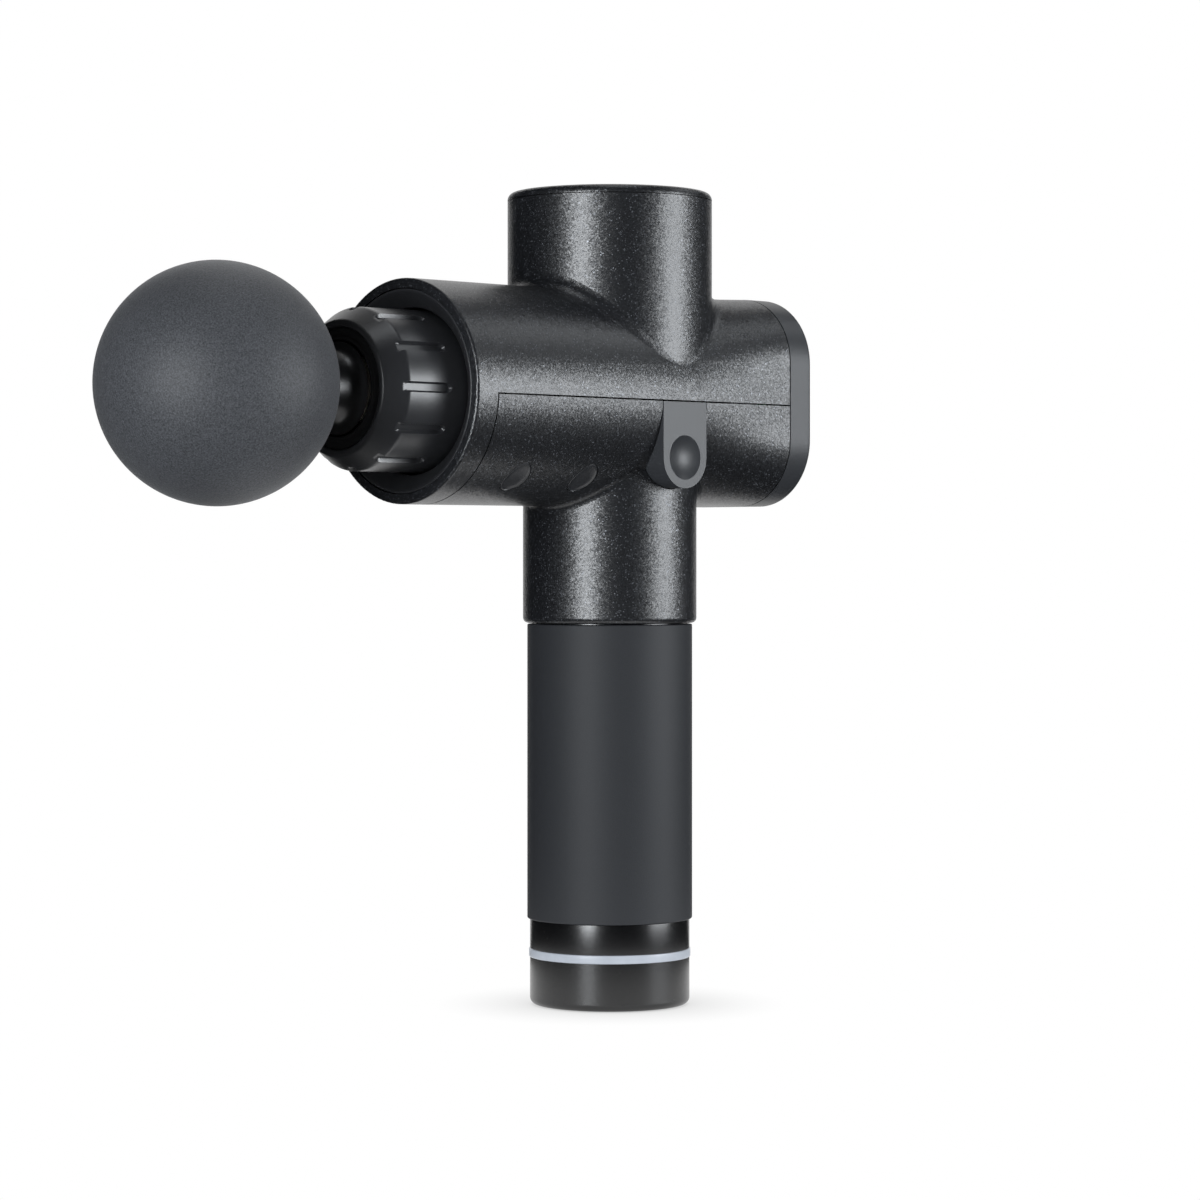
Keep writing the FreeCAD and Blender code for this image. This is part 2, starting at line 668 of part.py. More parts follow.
def tongue(name, side, clearance, depth):
    """The side cover's outline: straight sides down to a round end."""
    outside = "tongue_outer" if clearance == "0" else "tongue_outer + shell_wall"
    inside = f"tongue_outer - ({depth})"
    reach = (inside, outside) if side > 0 else (f"-({outside})", f"-({inside})")
    radius = f"tongue_radius + {clearance}"
    centre = ("tongue_middle", "axis_height - tongue_drop")
    across = (f"tongue_middle - ({radius})", f"tongue_middle + ({radius})")
    top = "axis_height + tongue_top" if clearance == "0" else "seam_height"
    straight = block(name + "_straight", across, reach, (centre[1], top))
    end = bar(name + "_end", radius, *reach, centre, "sideways")
    return joined(name, [straight, end])


covers = []
for label, side in (("side_cover_left", 1), ("side_cover_right", -1)):
    lower_cuts.append(tongue(label + "_pocket", side, "tongue_gap", "tongue_depth + tongue_gap"))
    plate = tongue(label + "_plate", side, "0", "tongue_depth")
    dimple = document.addObject("Part::Sphere", label + "_dimple")
    bind(dimple, "Radius", "dimple_sphere")
    reach = "(tongue_outer - dimple_depth + dimple_sphere)"
    put(dimple, "tongue_middle", reach if side > 0 else "-" + reach, "axis_height - tongue_drop")
    covers.append((label, without(label, plate, [dimple])))

lower_skin = shared("lower_skin", [outer, lower_room])
lower_hollow = without("lower_hollow", lower_skin, [hollow])
lower_posts = shared("lower_posts", [joined("lower_boss_set", lower_bosses), lower_skin])
lower_whole = joined("lower_whole", [lower_hollow, lower_posts])
piece(without("lower_housing", lower_whole, lower_cuts), "lower_housing")

upper_skin = without("upper_skin", outer, [upper_gap])
upper_hollow = without("upper_hollow", upper_skin, [hollow])
upper_posts = shared("upper_posts", [joined("upper_boss_set", upper_bosses), upper_skin])
upper_whole = joined("upper_whole", [upper_hollow, upper_posts])
piece(without("upper_housing", upper_whole, upper_cuts), "upper_housing")

for label, cover in covers:
    piece(cover, label)
piece(together("screw_plugs", plugs), "screw_plugs")
piece(together("shell_screws", screws), "shell_screws")

lid_floor = "lid_seam + seam_gap / 2"
lid = turned("crown_lid", [
    ("0", f"{lid_floor} - shell_wall"),
    ("crown_bore - bracket_gap", f"{lid_floor} - shell_wall"),
    ("crown_bore - bracket_gap", lid_floor),
    ("crown_radius", lid_floor),
    ("crown_radius", "crown_top"),
    ("0", "crown_top"),
])
piece(soften(lid, rim_at(amount_of("crown_top")), "crown_edge"), "crown_lid")

# ---- rear cap, display and keys -------------------------------------------------------

cap = rounded_plate("cap_form", "barrel_radius", "rear_half_height", "rear_corner", "cap_rear", "cap_front")
soften(cap, rim_at(amount_of("cap_rear"), "x"), "cap_edge")
cap_hollow = rounded_plate("cap_hollow", "barrel_bore", "rear_half_height - shell_wall",
                           "rear_corner - shell_wall", "cap_inside", "cap_front + shell_wall")
cap_shell = without("cap_shell", cap, [cap_hollow])
posts = []
for across in ("-post_side", "post_side"):
    for rise in ("axis_height - post_rise", "axis_height + post_rise"):
        posts.append(bar(f"post_{len(posts) + 1}", "post_radius", "cap_inside", "panel_rear",
                         (across, rise), "forward"))
lens_recess = rounded_plate("lens_recess", "lens_half_width + plug_gap", "lens_half_height + plug_gap",
                            "lens_ledge", "cap_rear - shell_wall", "cap_rear + lens_thick", "lens_rise")
window = rounded_plate("window", "lens_half_width - lens_ledge", "lens_half_height - lens_ledge",
                       "lens_ledge / 2", "cap_rear", "cap_inside + shell_wall", "lens_rise")
key_spots = [("minus_key", "-key_pitch"), ("power_key", "0"), ("plus_key", "key_pitch")]
key_height = "axis_height - key_drop"
key_holes = [bar(label + "_hole", "key_radius + key_clearance", "cap_rear - shell_wall",
                 "cap_inside + shell_wall", (across, key_height), "forward") for label, across in key_spots]
cap_whole = joined("cap_whole", [cap_shell, *posts])
piece(without("rear_cap", cap_whole, [lens_recess, window, *key_holes]), "rear_cap")

piece(rounded_plate("display_lens", "lens_half_width", "lens_half_height", "lens_ledge",
                    "cap_rear", "cap_rear + lens_thick", "lens_rise"), "display_lens")
panel = rounded_plate("control_board", "panel_half_width", "panel_half_height", "panel_corner",
                      "panel_rear", "panel_front")
piece(panel, "control_board")
display = block("display_module", ("cap_inside + display_gap", "panel_rear"),
                ("-lens_half_width", "lens_half_width"),
                ("axis_height + lens_rise - lens_half_height",
                 "axis_height + lens_rise + lens_half_height"))
piece(display, "display_module")
push_switches = []
for label, across in key_spots:
    outside = bar(label + "_cap", "key_radius", "cap_rear - key_proud", "cap_inside + key_rest",
                  (across, key_height), "forward")
    rim = bar(label + "_rim", "key_radius + key_flange", "cap_inside + key_rest", "key_inner",
              (across, key_height), "forward")
    piece(joined(label, [outside, rim]), label)
    push_switches.append(block(label + "_switch", ("key_inner + key_travel + key_clearance", "panel_rear"),
                               (f"({across}) - switch_side / 2", f"({across}) + switch_side / 2"),
                               (f"{key_height} - switch_side / 2", f"{key_height} + switch_side / 2")))
piece(together("push_switches", push_switches), "push_switches")

drive_rear = "-drive_seat - board_thick"
piece(block("drive_board", (drive_rear, "-drive_seat"), ("-drive_half_width", "drive_half_width"),
            ("axis_height - drive_half_height", "axis_height + drive_half_height")), "drive_board")
chips = []
for column in (-1, 0, 1):
    for level in (-1, 1):
        middle = f"{column} * chip_pitch"
        height = f"axis_height + {level} * chip_side / 2 + {level} * chip_thick / 2"
        chips.append(block(f"chip_{len(chips) + 1}", ("-drive_seat", "chip_thick - drive_seat"),
                           (f"{middle} - chip_side / 2", f"{middle} + chip_side / 2"),
                           (f"{height} - chip_side / 2", f"{height} + chip_side / 2")))
piece(together("power_chips", chips), "power_chips")
piece(bar("storage_capacitor", "store_radius", "-drive_seat", "store_length - drive_seat",
          ("2 * chip_pitch - chip_thick", "axis_height"), "forward"), "storage_capacitor")

# ---- nose: liner, collar, seal ---------------------------------------------------------

piece(turned("nose_liner", [
    ("liner_front - liner_skirt", "liner_radius"),
    ("liner_front", "liner_radius"),
    ("liner_front", "liner_radius - liner_thick / 3"),
    ("liner_front - liner_depth", "liner_bore"),
    ("liner_front - liner_depth - liner_thick", "liner_bore"),
    ("liner_front - liner_thick", "liner_radius - liner_thick"),
    ("liner_front - liner_skirt", "liner_radius - liner_thick"),
], "forward"), "nose_liner")

collar = turned("nose_collar", [
    ("collar_rear", "collar_bore"),
    ("collar_front", "collar_bore"),
    ("collar_front", "collar_mouth"),
    ("collar_edge", "collar_radius"),
    ("collar_rear", "collar_radius"),
], "forward")
flute_sketch = sketch_on(collar, "YZ_Plane", [
    ("-flute_width / 2", "collar_radius - flute_depth"),
    ("flute_width / 2", "collar_radius - flute_depth"),
    ("flute_width / 2", "collar_radius + flute_depth"),
    ("-flute_width / 2", "collar_radius + flute_depth"),
], "flute_start")
document.recompute()
smooth_volume = collar.Shape.Volume
flute = collar.newObject("PartDesign::Pocket", "flute")
flute.Profile = flute_sketch
flute.Reversed = True
bind(flute, "Length", "collar_front - flute_start")
document.recompute()
flutes = collar.newObject("PartDesign::PolarPattern", "flutes")
flutes.Originals = [flute]
flutes.Axis = (flute_sketch, ["N_Axis"])
flutes.Angle = 360
bind(flutes, "Occurrences", "flute_count")
collar.Tip = flutes
document.recompute()
if collar.Shape.Volume > smooth_volume - 1:
    raise RuntimeError("the flutes cut nothing")
piece(collar, "nose_collar")
piece(ring("dust_seal", "collar_bore - running_fit", "seal_bore", "seal_front - seal_thick", "seal_front",
           "forward"), "dust_seal")

# ---- plunger, rod and guide --------------------------------------------------------------

bore_end = "spigot_tip - socket_relief"
plunger_bar = turned("plunger_bar", [
    ("plunger_rear", "0"),
    (bore_end, "0"),
    (bore_end, "socket_radius"),
    ("plunger_front", "socket_radius"),
    ("plunger_front", "plunger_radius"),
    ("plunger_rear", "plunger_radius"),
], "forward")
slot_half = "rod_thick / 2 + fork_clearance"
fork_slot = block("fork_slot", ("plunger_rear - rod_thick", "plunger_rear + fork_depth"), width_reach,
                  (f"axis_height - ({slot_half})", f"axis_height + {slot_half}"))
wrist_hole = bar("wrist_hole", "wrist_radius", "axis_height - plunger_radius",
                 "axis_height + plunger_radius", ("wrist_place", "0"))
piece(without("plunger", plunger_bar, [fork_slot, wrist_hole]), "plunger")
pin_reach = "plunger_radius - fork_clearance"
piece(bar("wrist_pin", "wrist_radius", f"axis_height - ({pin_reach})", f"axis_height + {pin_reach}",
          ("wrist_place", "0")), "wrist_pin")

rod_low, rod_high = "axis_height - rod_thick / 2", "axis_height + rod_thick / 2"
rod_form = joined("rod_form", [
    bar("big_eye", "big_end_radius", rod_low, rod_high, ("throw", "0")),
    bar("small_eye", "small_end_radius", rod_low, rod_high, ("wrist_place", "0")),
    block("rod_shank", ("throw", "wrist_place"), ("-rod_width / 2", "rod_width / 2"), (rod_low, rod_high)),
])
rod_cuts = [
    bar("big_hole", "big_bore", rod_low, rod_high, ("throw", "0")),
    bar("small_hole", "small_bush_radius", rod_low, rod_high, ("wrist_place", "0")),
]
piece(without("connecting_rod", rod_form, rod_cuts), "connecting_rod")


def eye_bush(label, outside, inside, place):
    """A bearing or bush that fills one eye of the rod."""
    body = bar(label + "_body", outside, rod_low, rod_high, (place, "0"))
    hole = bar(label + "_hole", inside, rod_low, rod_high, (place, "0"))
    return piece(without(label, body, [hole]), label)


eye_bush("big_end_bearing", "big_bore", "crank_pin_radius + crank_pin_gap", "throw")
eye_bush("small_end_bush", "small_bush_radius", "small_bore", "wrist_place")

guide = turned("guide_block", [
    ("guide_rear", "bush_radius"),
    ("guide_front", "bush_radius"),
    ("guide_front", "collar_bore - running_fit"),
    ("collar_rear - bulkhead_thick", "collar_bore - running_fit"),
    ("collar_rear - bulkhead_thick", "guide_radius"),
    ("bulkhead_front", "guide_radius"),
    ("bulkhead_front", "barrel_bore - bulkhead_gap"),
    ("bulkhead_front - bulkhead_thick", "barrel_bore - bulkhead_gap"),
    ("bulkhead_front - bulkhead_thick", "guide_radius"),
    ("guide_rear + bulkhead_thick", "guide_radius"),
    ("guide_rear + bulkhead_thick", "barrel_bore - bulkhead_gap"),
    ("guide_rear", "barrel_bore - bulkhead_gap"),
], "forward")
piece(guide, "guide_block")
piece(together("plunger_bushes", [
    ring("rear_bush", "bush_radius", "bush_bore", "guide_rear", "guide_rear + bush_length", "forward"),
    ring("front_bush", "bush_radius", "bush_bore", "guide_front - bush_length", "guide_front", "forward"),
]), "plunger_bushes")

# ---- head ---------------------------------------------------------------------------------

FLANK_STEPS = 6
flank = []
for step in range(FLANK_STEPS + 1):
    share = step / FLANK_STEPS
    place = f"stem_flange_front + {share} * (stem_waist_front - stem_flange_front)"
    radius = f"stem_waist + {(1 - share) ** 2} * (stem_flange_radius - stem_waist)"
    flank.append((place, radius))
rings = []
groove_corners = []
for number in (1, 0):
    middle = f"stem_flange_rear - oring_first - {number} * oring_pitch"
    groove_corners += [
        (f"{middle} - oring_minor", "spigot_radius"),
        (f"{middle} - oring_minor", "oring_groove"),
        (f"{middle} + oring_minor", "oring_groove"),
        (f"{middle} + oring_minor", "spigot_radius"),
    ]
    seal = document.addObject("Part::Torus", f"stem_ring_{number + 1}")
    seal.Placement.Rotation = TURNS["forward"]
    bind(seal, "Radius1", "oring_major")
    bind(seal, "Radius2", "oring_minor")
    rings.append(put(seal, middle, "0", "axis_height"))
stem_tip = "ball_centre - ball_radius + stem_depth"
piece(turned("head_stem", [
    ("spigot_tip", "0"),
    ("spigot_tip", "spigot_radius - spigot_clearance"),
    ("spigot_tip + spigot_clearance", "spigot_radius"),
    *groove_corners,
    ("stem_flange_rear", "spigot_radius"),
    ("stem_flange_rear", "stem_flange_radius"),
    *flank,
    (stem_tip, "stem_waist"),
    (stem_tip, "0"),
], "forward"), "head_stem")
piece(together("stem_rings", rings), "stem_rings")
ball = document.addObject("Part::Sphere", "ball_form")
bind(ball, "Radius", "ball_radius")
put(ball, "ball_centre", "0", "axis_height")
stem_way = bar("stem_way", "stem_waist + stem_fit", "ball_centre - 2 * ball_radius",
               f"{stem_tip} + stem_fit", ("0", "axis_height"), "forward")
piece(without("foam_ball", ball, [stem_way]), "foam_ball")

# ---- crank and motor -----------------------------------------------------------------------

piece(ring("crank_disc", "crank_radius", "shaft_radius", "crank_floor", "crank_ceiling"), "crank_disc")
piece(bar("crank_pin", "crank_pin_radius", f"{rod_high} + crank_pin_gap", "crank_floor", ("throw", "0")),
      "crank_pin")
weight = sector(amount_of("crank_radius + weight_gap"), amount_of("weight_radius"),
                amount_of("crank_floor"), amount_of("crank_ceiling"), amount_of("weight_angle"))
weight.rotate(FreeCAD.Vector(), FreeCAD.Vector(0, 0, 1), 180)
piece(computed("counterweight", weight), "counterweight")
shaft_top = "can_ceiling + can_lid + shaft_above"
piece(ring("motor_shaft", "shaft_radius", "0", "crank_floor", shaft_top), "motor_shaft")

bracket = ring("bracket_plate", "crown_bore - bracket_gap", "lower_race", "bracket_floor",
               "bracket_ceiling")
bracket_screws = []
for number in range(3):
    angle = f"{120 * number} deg"
    spot = (f"bracket_screw_ring * cos({angle})", f"bracket_screw_ring * sin({angle})")
    bracket_screws.append(spot)
bracket_holes = [bar(f"bracket_hole_{number}", "bracket_screw_radius", "bracket_floor", "bracket_ceiling",
                     spot) for number, spot in enumerate(bracket_screws, 1)]
piece(without("motor_bracket", bracket, bracket_holes), "motor_bracket")
base_form = turned("motor_base_form", [
    ("upper_race", "bracket_ceiling"),
    ("hub_flange_radius", "bracket_ceiling"),
    ("hub_flange_radius", "flange_ceiling"),
    ("hub_radius", "flange_ceiling"),
    ("hub_radius", "hub_ceiling"),
    ("upper_race", "hub_ceiling"),
])
flange_holes = [bar(f"flange_hole_{number}", "bracket_screw_radius", "bracket_ceiling", "flange_ceiling",
                    spot) for number, spot in enumerate(bracket_screws, 1)]
piece(without("motor_base", base_form, flange_holes), "motor_base")
fixings = []
for number, spot in enumerate(bracket_screws, 1):
    head = bar(f"fixing_head_{number}", "2 * bracket_screw_radius", "bracket_floor - bracket_screw_radius",
               "bracket_floor", spot)
    shank = bar(f"fixing_shank_{number}", "bracket_screw_radius", "bracket_floor", "flange_ceiling", spot)
    fixings.append(joined(f"bracket_screw_{number}", [head, shank]))
piece(together("bracket_screws", fixings), "bracket_screws")
bearing_bore = "shaft_radius + running_fit"
piece(together("motor_bearings", [
    ring("lower_bearing", "lower_race", bearing_bore, "bracket_floor", "bracket_ceiling"),
    ring("upper_bearing", "upper_race", bearing_bore, "hub_ceiling - upper_bearing_length", "hub_ceiling"),
]), "motor_bearings")

stator = ring("stator", "stator_back", "hub_radius", "stator_floor", "stator_ceiling")
tooth_sketch = sketch_on(stator, "XY_Plane", [
    ("stator_back - shoe_thick", "-tooth_width / 2"),
    ("stator_radius - shoe_thick", "-tooth_width / 2"),
    ("stator_radius - shoe_thick", "-shoe_width / 2"),
    ("stator_radius - shoe_thick / 2", "-shoe_width / 2"),
    ("stator_radius", "-tooth_width / 2"),
    ("stator_radius", "tooth_width / 2"),
    ("stator_radius - shoe_thick / 2", "shoe_width / 2"),
    ("stator_radius - shoe_thick", "shoe_width / 2"),
    ("stator_radius - shoe_thick", "tooth_width / 2"),
    ("stator_back - shoe_thick", "tooth_width / 2"),
], "stator_floor")
document.recompute()
tooth = stator.newObject("PartDesign::Pad", "tooth")
tooth.Profile = tooth_sketch
bind(tooth, "Length", "stator_height")
document.recompute()
teeth = stator.newObject("PartDesign::PolarPattern", "teeth")
teeth.Originals = [tooth]
teeth.Axis = (tooth_sketch, ["N_Axis"])
teeth.Angle = 360
bind(teeth, "Occurrences", "tooth_count")
stator.Tip = teeth
piece(stator, "stator")


def coil():
    """One winding: a squared sleeve round the tooth that points along +X."""
    inner_half = amount_of("tooth_width / 2 + coil_gap")
    build = amount_of("coil_build")
    low = amount_of("stator_floor - coil_gap")
    high = amount_of("stator_ceiling + coil_gap")
    start = amount_of("stator_back + coil_build")
    length = amount_of("stator_radius - shoe_thick - coil_gap") - start
    outside = Part.makeBox(length, 2 * (inner_half + build), high - low + 2 * build,
                           FreeCAD.Vector(start, -inner_half - build, low - build))
    inside = Part.makeBox(length, 2 * inner_half, high - low, FreeCAD.Vector(start, -inner_half, low))
    return outside.cut(inside)


piece(computed("windings", ring_of(coil(), int(amount_of("tooth_count")))), "windings")
magnet = sector(amount_of("magnet_bore"), amount_of("magnet_radius"), amount_of("stator_floor"),
                amount_of("stator_ceiling"), amount_of("magnet_angle"))
piece(computed("magnets", ring_of(magnet, int(amount_of("magnet_count")))), "magnets")
piece(turned("motor_can", [
    ("magnet_radius + coil_gap", "can_floor"),
    ("can_radius", "can_floor"),
    ("can_radius", "can_ceiling + can_lid"),
    ("shaft_radius", "can_ceiling + can_lid"),
    ("shaft_radius", "can_ceiling"),
    ("magnet_radius + coil_gap", "can_ceiling"),
]), "motor_can")

# ---- battery handle ------------------------------------------------------------------------

piece(ring("battery_tube", "tube_radius", "tube_bore", "light_top", "pack_lid_floor"), "battery_tube")
sleeve = ring("grip_sleeve", "grip_radius", "tube_radius + tube_fit", "grip_bottom", "grip_top")


def sleeve_rim(edge):
    """The outer rims of the sleeve."""
    return isinstance(edge.Curve, Part.Circle) and abs(edge.Curve.Radius - amount_of("grip_radius")) < 1e-4


piece(soften(sleeve, sleeve_rim, "grip_edge"), "grip_sleeve")
piece(ring("handle_band", "band_radius", "tube_radius + tube_fit", "light_top", "grip_bottom"),
      "handle_band")
piece(ring("light_ring", "light_radius", "light_radius - light_wall", "light_bottom", "light_top"),
      "light_ring")
piece(turned("pack_lid", [
    ("0", "pack_lid_floor"),
    ("tube_radius", "pack_lid_floor"),
    ("tube_radius", "pack_top"),
    ("0", "pack_top"),
]), "pack_lid")

angles = [f"{120 * number + 30} deg" for number in range(3)]
cell_spots = [(f"cell_ring * cos({angle})", f"cell_ring * sin({angle})") for angle in angles]
layers = [
    ("lower_cells", "cell_floor", "cell_floor + cell_height"),
    ("upper_cells", "upper_cell_floor", "upper_cell_top"),
]
for label, low, high in layers:
    cells = [bar(f"{label}_{index}", "cell_radius", low, high, spot)
             for index, spot in enumerate(cell_spots, 1)]
    piece(together(label, cells), label)
holder_levels = [
    ("lower_holder", "cell_floor + holder_thick"),
    ("middle_holder", "upper_cell_floor + holder_thick"),
    ("upper_holder", "upper_cell_top - 2 * holder_thick"),
]
holders = []
for label, level in holder_levels:
    disc = ring(label + "_disc", "tube_bore - holder_gap", "0", level, f"{level} + holder_thick")
    holes = [bar(f"{label}_hole_{index}", "cell_radius + holder_gap", level, f"{level} + holder_thick",
                 spot) for index, spot in enumerate(cell_spots, 1)]
    holders.append(without(label, disc, holes))
piece(together("cell_holders", holders), "cell_holders")
strip_levels = ("cell_floor - strip_thick",
                "cell_floor + cell_height + cell_layer_gap / 2 - strip_thick / 2", "upper_cell_top")
strips = [ring(f"strip_{index}", "strip_radius", "0", level, f"{level} + strip_thick")
          for index, level in enumerate(strip_levels, 1)]
piece(together("nickel_strips", strips), "nickel_strips")

piece(ring("contact_plate", "neck_bore - running_fit", "0", "contact_plate_floor",
           "contact_plate_floor + socket_board_thick"), "contact_plate")
contacts = []
for across in ("-contact_pitch", "0", "contact_pitch"):
    contacts.append(bar(f"contact_{len(contacts) + 1}", "contact_radius", "pack_top + contact_gap",
                        "contact_plate_floor", (across, "0")))
piece(together("neck_contacts", contacts), "neck_contacts")

# ---- base ------------------------------------------------------------------------------------

cup = turned("base_cup_form", [
    ("0", "0"),
    ("band_radius", "0"),
    ("band_radius", "light_bottom"),
    ("base_board_radius + tube_fit", "light_bottom"),
    ("base_board_radius + tube_fit", "base_board_floor"),
    ("base_board_radius - base_ledge_width", "base_board_floor"),
    ("base_board_radius - base_ledge_width", "base_wall"),
    ("0", "base_wall"),
])


def standing_rim(edge):
    """The outer rim of the standing face."""
    on_floor = all(abs(spot.Point.z) < 1e-4 for spot in edge.Vertexes)
    return on_floor and isinstance(edge.Curve, Part.Circle)


soften(cup, standing_rim, "base_edge")
jack_hole = bar("jack_hole", "jack_radius + jack_gap", "-base_wall", "2 * base_wall", ("jack_place", "0"))
base_key_hole = bar("base_key_hole", "base_key_radius + key_clearance", "-base_wall", "2 * base_wall",
                    ("base_key_place", "0"))
piece(without("base_cup", cup, [jack_hole, base_key_hole]), "base_cup")
piece(ring("base_board", "base_board_radius", "0", "base_board_floor", "base_board_top"), "base_board")
jack_body = bar("jack_body", "jack_radius", "jack_recess", "base_board_floor", ("jack_place", "0"))
jack_way = bar("jack_way", "jack_bore", "0", "base_board_floor - jack_floor", ("jack_place", "0"))
jack_sleeve = without("jack_sleeve", jack_body, [jack_way])
jack_pin = bar("jack_pin", "jack_pin_radius", "2 * jack_recess", "base_board_floor - jack_floor",
               ("jack_place", "0"))
piece(together("charge_socket", [jack_sleeve, jack_pin]), "charge_socket")
base_key_cap = bar("base_key_cap", "base_key_radius", "base_key_floor", "base_wall + key_rest",
                   ("base_key_place", "0"))
base_key_rim = bar("base_key_rim", "base_key_radius + key_flange", "base_wall + key_rest", "base_key_inner",
                   ("base_key_place", "0"))
piece(joined("base_key", [base_key_cap, base_key_rim]), "base_key")
half_switch = "switch_side / 2"
piece(block("base_switch", (f"base_key_place - {half_switch}", f"base_key_place + {half_switch}"),
            (f"-{half_switch}", half_switch),
            ("base_key_inner + key_travel + key_clearance", "base_board_floor")), "base_switch")
lamps = []
for index in range(int(amount_of("light_count"))):
    angle = f"{index} * 360 deg / light_count"
    middle = (f"light_ring_radius * cos({angle})", f"light_ring_radius * sin({angle})")
    reach = [(f"{spot} - light_side / 2", f"{spot} + light_side / 2") for spot in middle]
    lamps.append(block(f"lamp_{index + 1}", *reach, ("base_board_top", "base_board_top + light_side / 2")))
piece(together("base_lamps", lamps), "base_lamps")

# ---- check and write ---------------------------------------------------------------------------

document.recompute()
for item in document.Objects:
    if "Invalid" in item.State or "Error" in item.State:
        raise RuntimeError(f"{item.Name} failed: {item.State}")
os.makedirs("parts", exist_ok=True)
for item in pieces:
    if item.Shape.isNull() or not item.Shape.isValid():
        raise RuntimeError(f"{item.Label} has no valid shape")
    item.Shape.exportStep(f"parts/{item.Label}.step")
print(f"{len(pieces)} sub-parts, {sum(len(item.Shape.Solids) for item in pieces)} solids")
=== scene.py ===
"""Looks of a hand-held percussion massager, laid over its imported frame.

Lengths are metres in the frame's own axes: +X towards the ball head, +Y to the
massager's left, +Z up, with the origin in the middle of the base.
"""
import json
import math

import bmesh
import bpy
import numpy as np
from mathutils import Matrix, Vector


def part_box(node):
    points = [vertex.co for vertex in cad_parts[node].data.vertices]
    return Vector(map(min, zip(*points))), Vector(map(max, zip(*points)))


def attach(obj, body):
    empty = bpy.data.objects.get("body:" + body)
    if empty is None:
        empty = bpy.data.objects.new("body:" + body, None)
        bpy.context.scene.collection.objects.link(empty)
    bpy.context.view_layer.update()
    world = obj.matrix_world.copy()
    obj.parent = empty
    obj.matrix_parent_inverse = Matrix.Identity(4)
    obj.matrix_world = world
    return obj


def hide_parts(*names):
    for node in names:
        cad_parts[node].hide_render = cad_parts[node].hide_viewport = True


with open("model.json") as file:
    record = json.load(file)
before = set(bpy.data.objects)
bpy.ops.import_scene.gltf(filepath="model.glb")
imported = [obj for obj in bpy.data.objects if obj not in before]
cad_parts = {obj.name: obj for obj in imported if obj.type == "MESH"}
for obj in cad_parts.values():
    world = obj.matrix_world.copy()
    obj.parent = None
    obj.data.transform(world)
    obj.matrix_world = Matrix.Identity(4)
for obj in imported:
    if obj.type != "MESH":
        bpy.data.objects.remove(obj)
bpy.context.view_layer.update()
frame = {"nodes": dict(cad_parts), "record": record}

MM = 0.001

# ---- sizes read from the frame ------------------------------------------------------

ball_low, ball_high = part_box("foam_ball")
BALL_RADIUS = (ball_high.z - ball_low.z) / 2
BALL_X = ball_high.x - BALL_RADIUS
AXIS_Z = (ball_high.z + ball_low.z) / 2


def reach(node, axis="x"):
    """Lowest and highest place of a node along one axis."""
    low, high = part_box(node)
    return getattr(low, axis), getattr(high, axis)


def girth(node):
    """Outer radius of a round node."""
    low, high = reach(node, "y")
    return (high - low) / 2


# ---- camera, light and stage -----------------------------------------------------------

CAMERA_TURN = math.radians(44.9)
CAMERA_DISTANCE = 1.083
CAMERA_HEIGHT = 0.1338
CAMERA_ASIDE = -0.0029
LENS_MM = 108.8
SENSOR_MM = 36.0
SHIFT_DOWN = -0.0378
CLIP_END = 50.0
SOFTBOX_COLOUR = (0.93, 0.965, 1.0)
WHITE = (1, 1, 1, 1)
FILL_STRENGTH = 0.22
FLOOR_HALF_SIDE = 8.0
FLOOR_DROP = 0.0002
SHADE_REACH = 0.03
SHADE_DEEPEST = 0.55
SHADE_RADII = (0.05, 0.06)
BOOTH_STEPS = 48

towards_camera = Vector((math.sin(CAMERA_TURN), math.cos(CAMERA_TURN), 0))
rightwards = Vector((-math.cos(CAMERA_TURN), math.sin(CAMERA_TURN), 0))


def make_camera():
    """A level camera, so that upright lines stay upright."""
    data = bpy.data.cameras.new("camera")
    data.lens = LENS_MM
    data.sensor_width = SENSOR_MM
    data.shift_y = SHIFT_DOWN
    data.clip_end = CLIP_END
    camera = bpy.data.objects.new("camera", data)
    bpy.context.scene.collection.objects.link(camera)
    place = towards_camera * CAMERA_DISTANCE + rightwards * CAMERA_ASIDE
    camera.location = (place.x, place.y, CAMERA_HEIGHT)
    camera.rotation_euler = (-towards_camera).to_track_quat("-Z", "Y").to_euler()
    bpy.context.scene.camera = camera


def make_light(name, turn, distance, height, width, length, power):
    """A softbox turned in degrees to the right of the camera, facing where the two axes cross."""
    data = bpy.data.lights.new(name, "AREA")
    data.shape = "RECTANGLE"
    data.size = width
    data.size_y = length
    data.energy = power
    data.color = SOFTBOX_COLOUR
    light = bpy.data.objects.new(name, data)
    bpy.context.scene.collection.objects.link(light)
    angle = math.radians(turn)
    out = towards_camera * math.cos(angle) + rightwards * math.sin(angle)
    light.location = out * distance + Vector((0, 0, height))
    facing = Vector((0, 0, AXIS_Z)) - light.location
    light.rotation_euler = facing.to_track_quat("-Z", "Y").to_euler()


def add(tree, kind, settings=None, links=None):
    """Adds a node with its settings, and links other nodes' outputs to its inputs."""
    node = tree.nodes.new(kind)
    for name, value in (settings or {}).items():
        if isinstance(name, int) or name in node.inputs:
            node.inputs[name].default_value = value
        else:
            setattr(node, name, value)
    join(tree, node, links or {})
    return node


def join(tree, node, links):
    """Links other nodes' outputs to a node's inputs."""
    for name, source in links.items():
        tree.links.new(source, node.inputs[name])


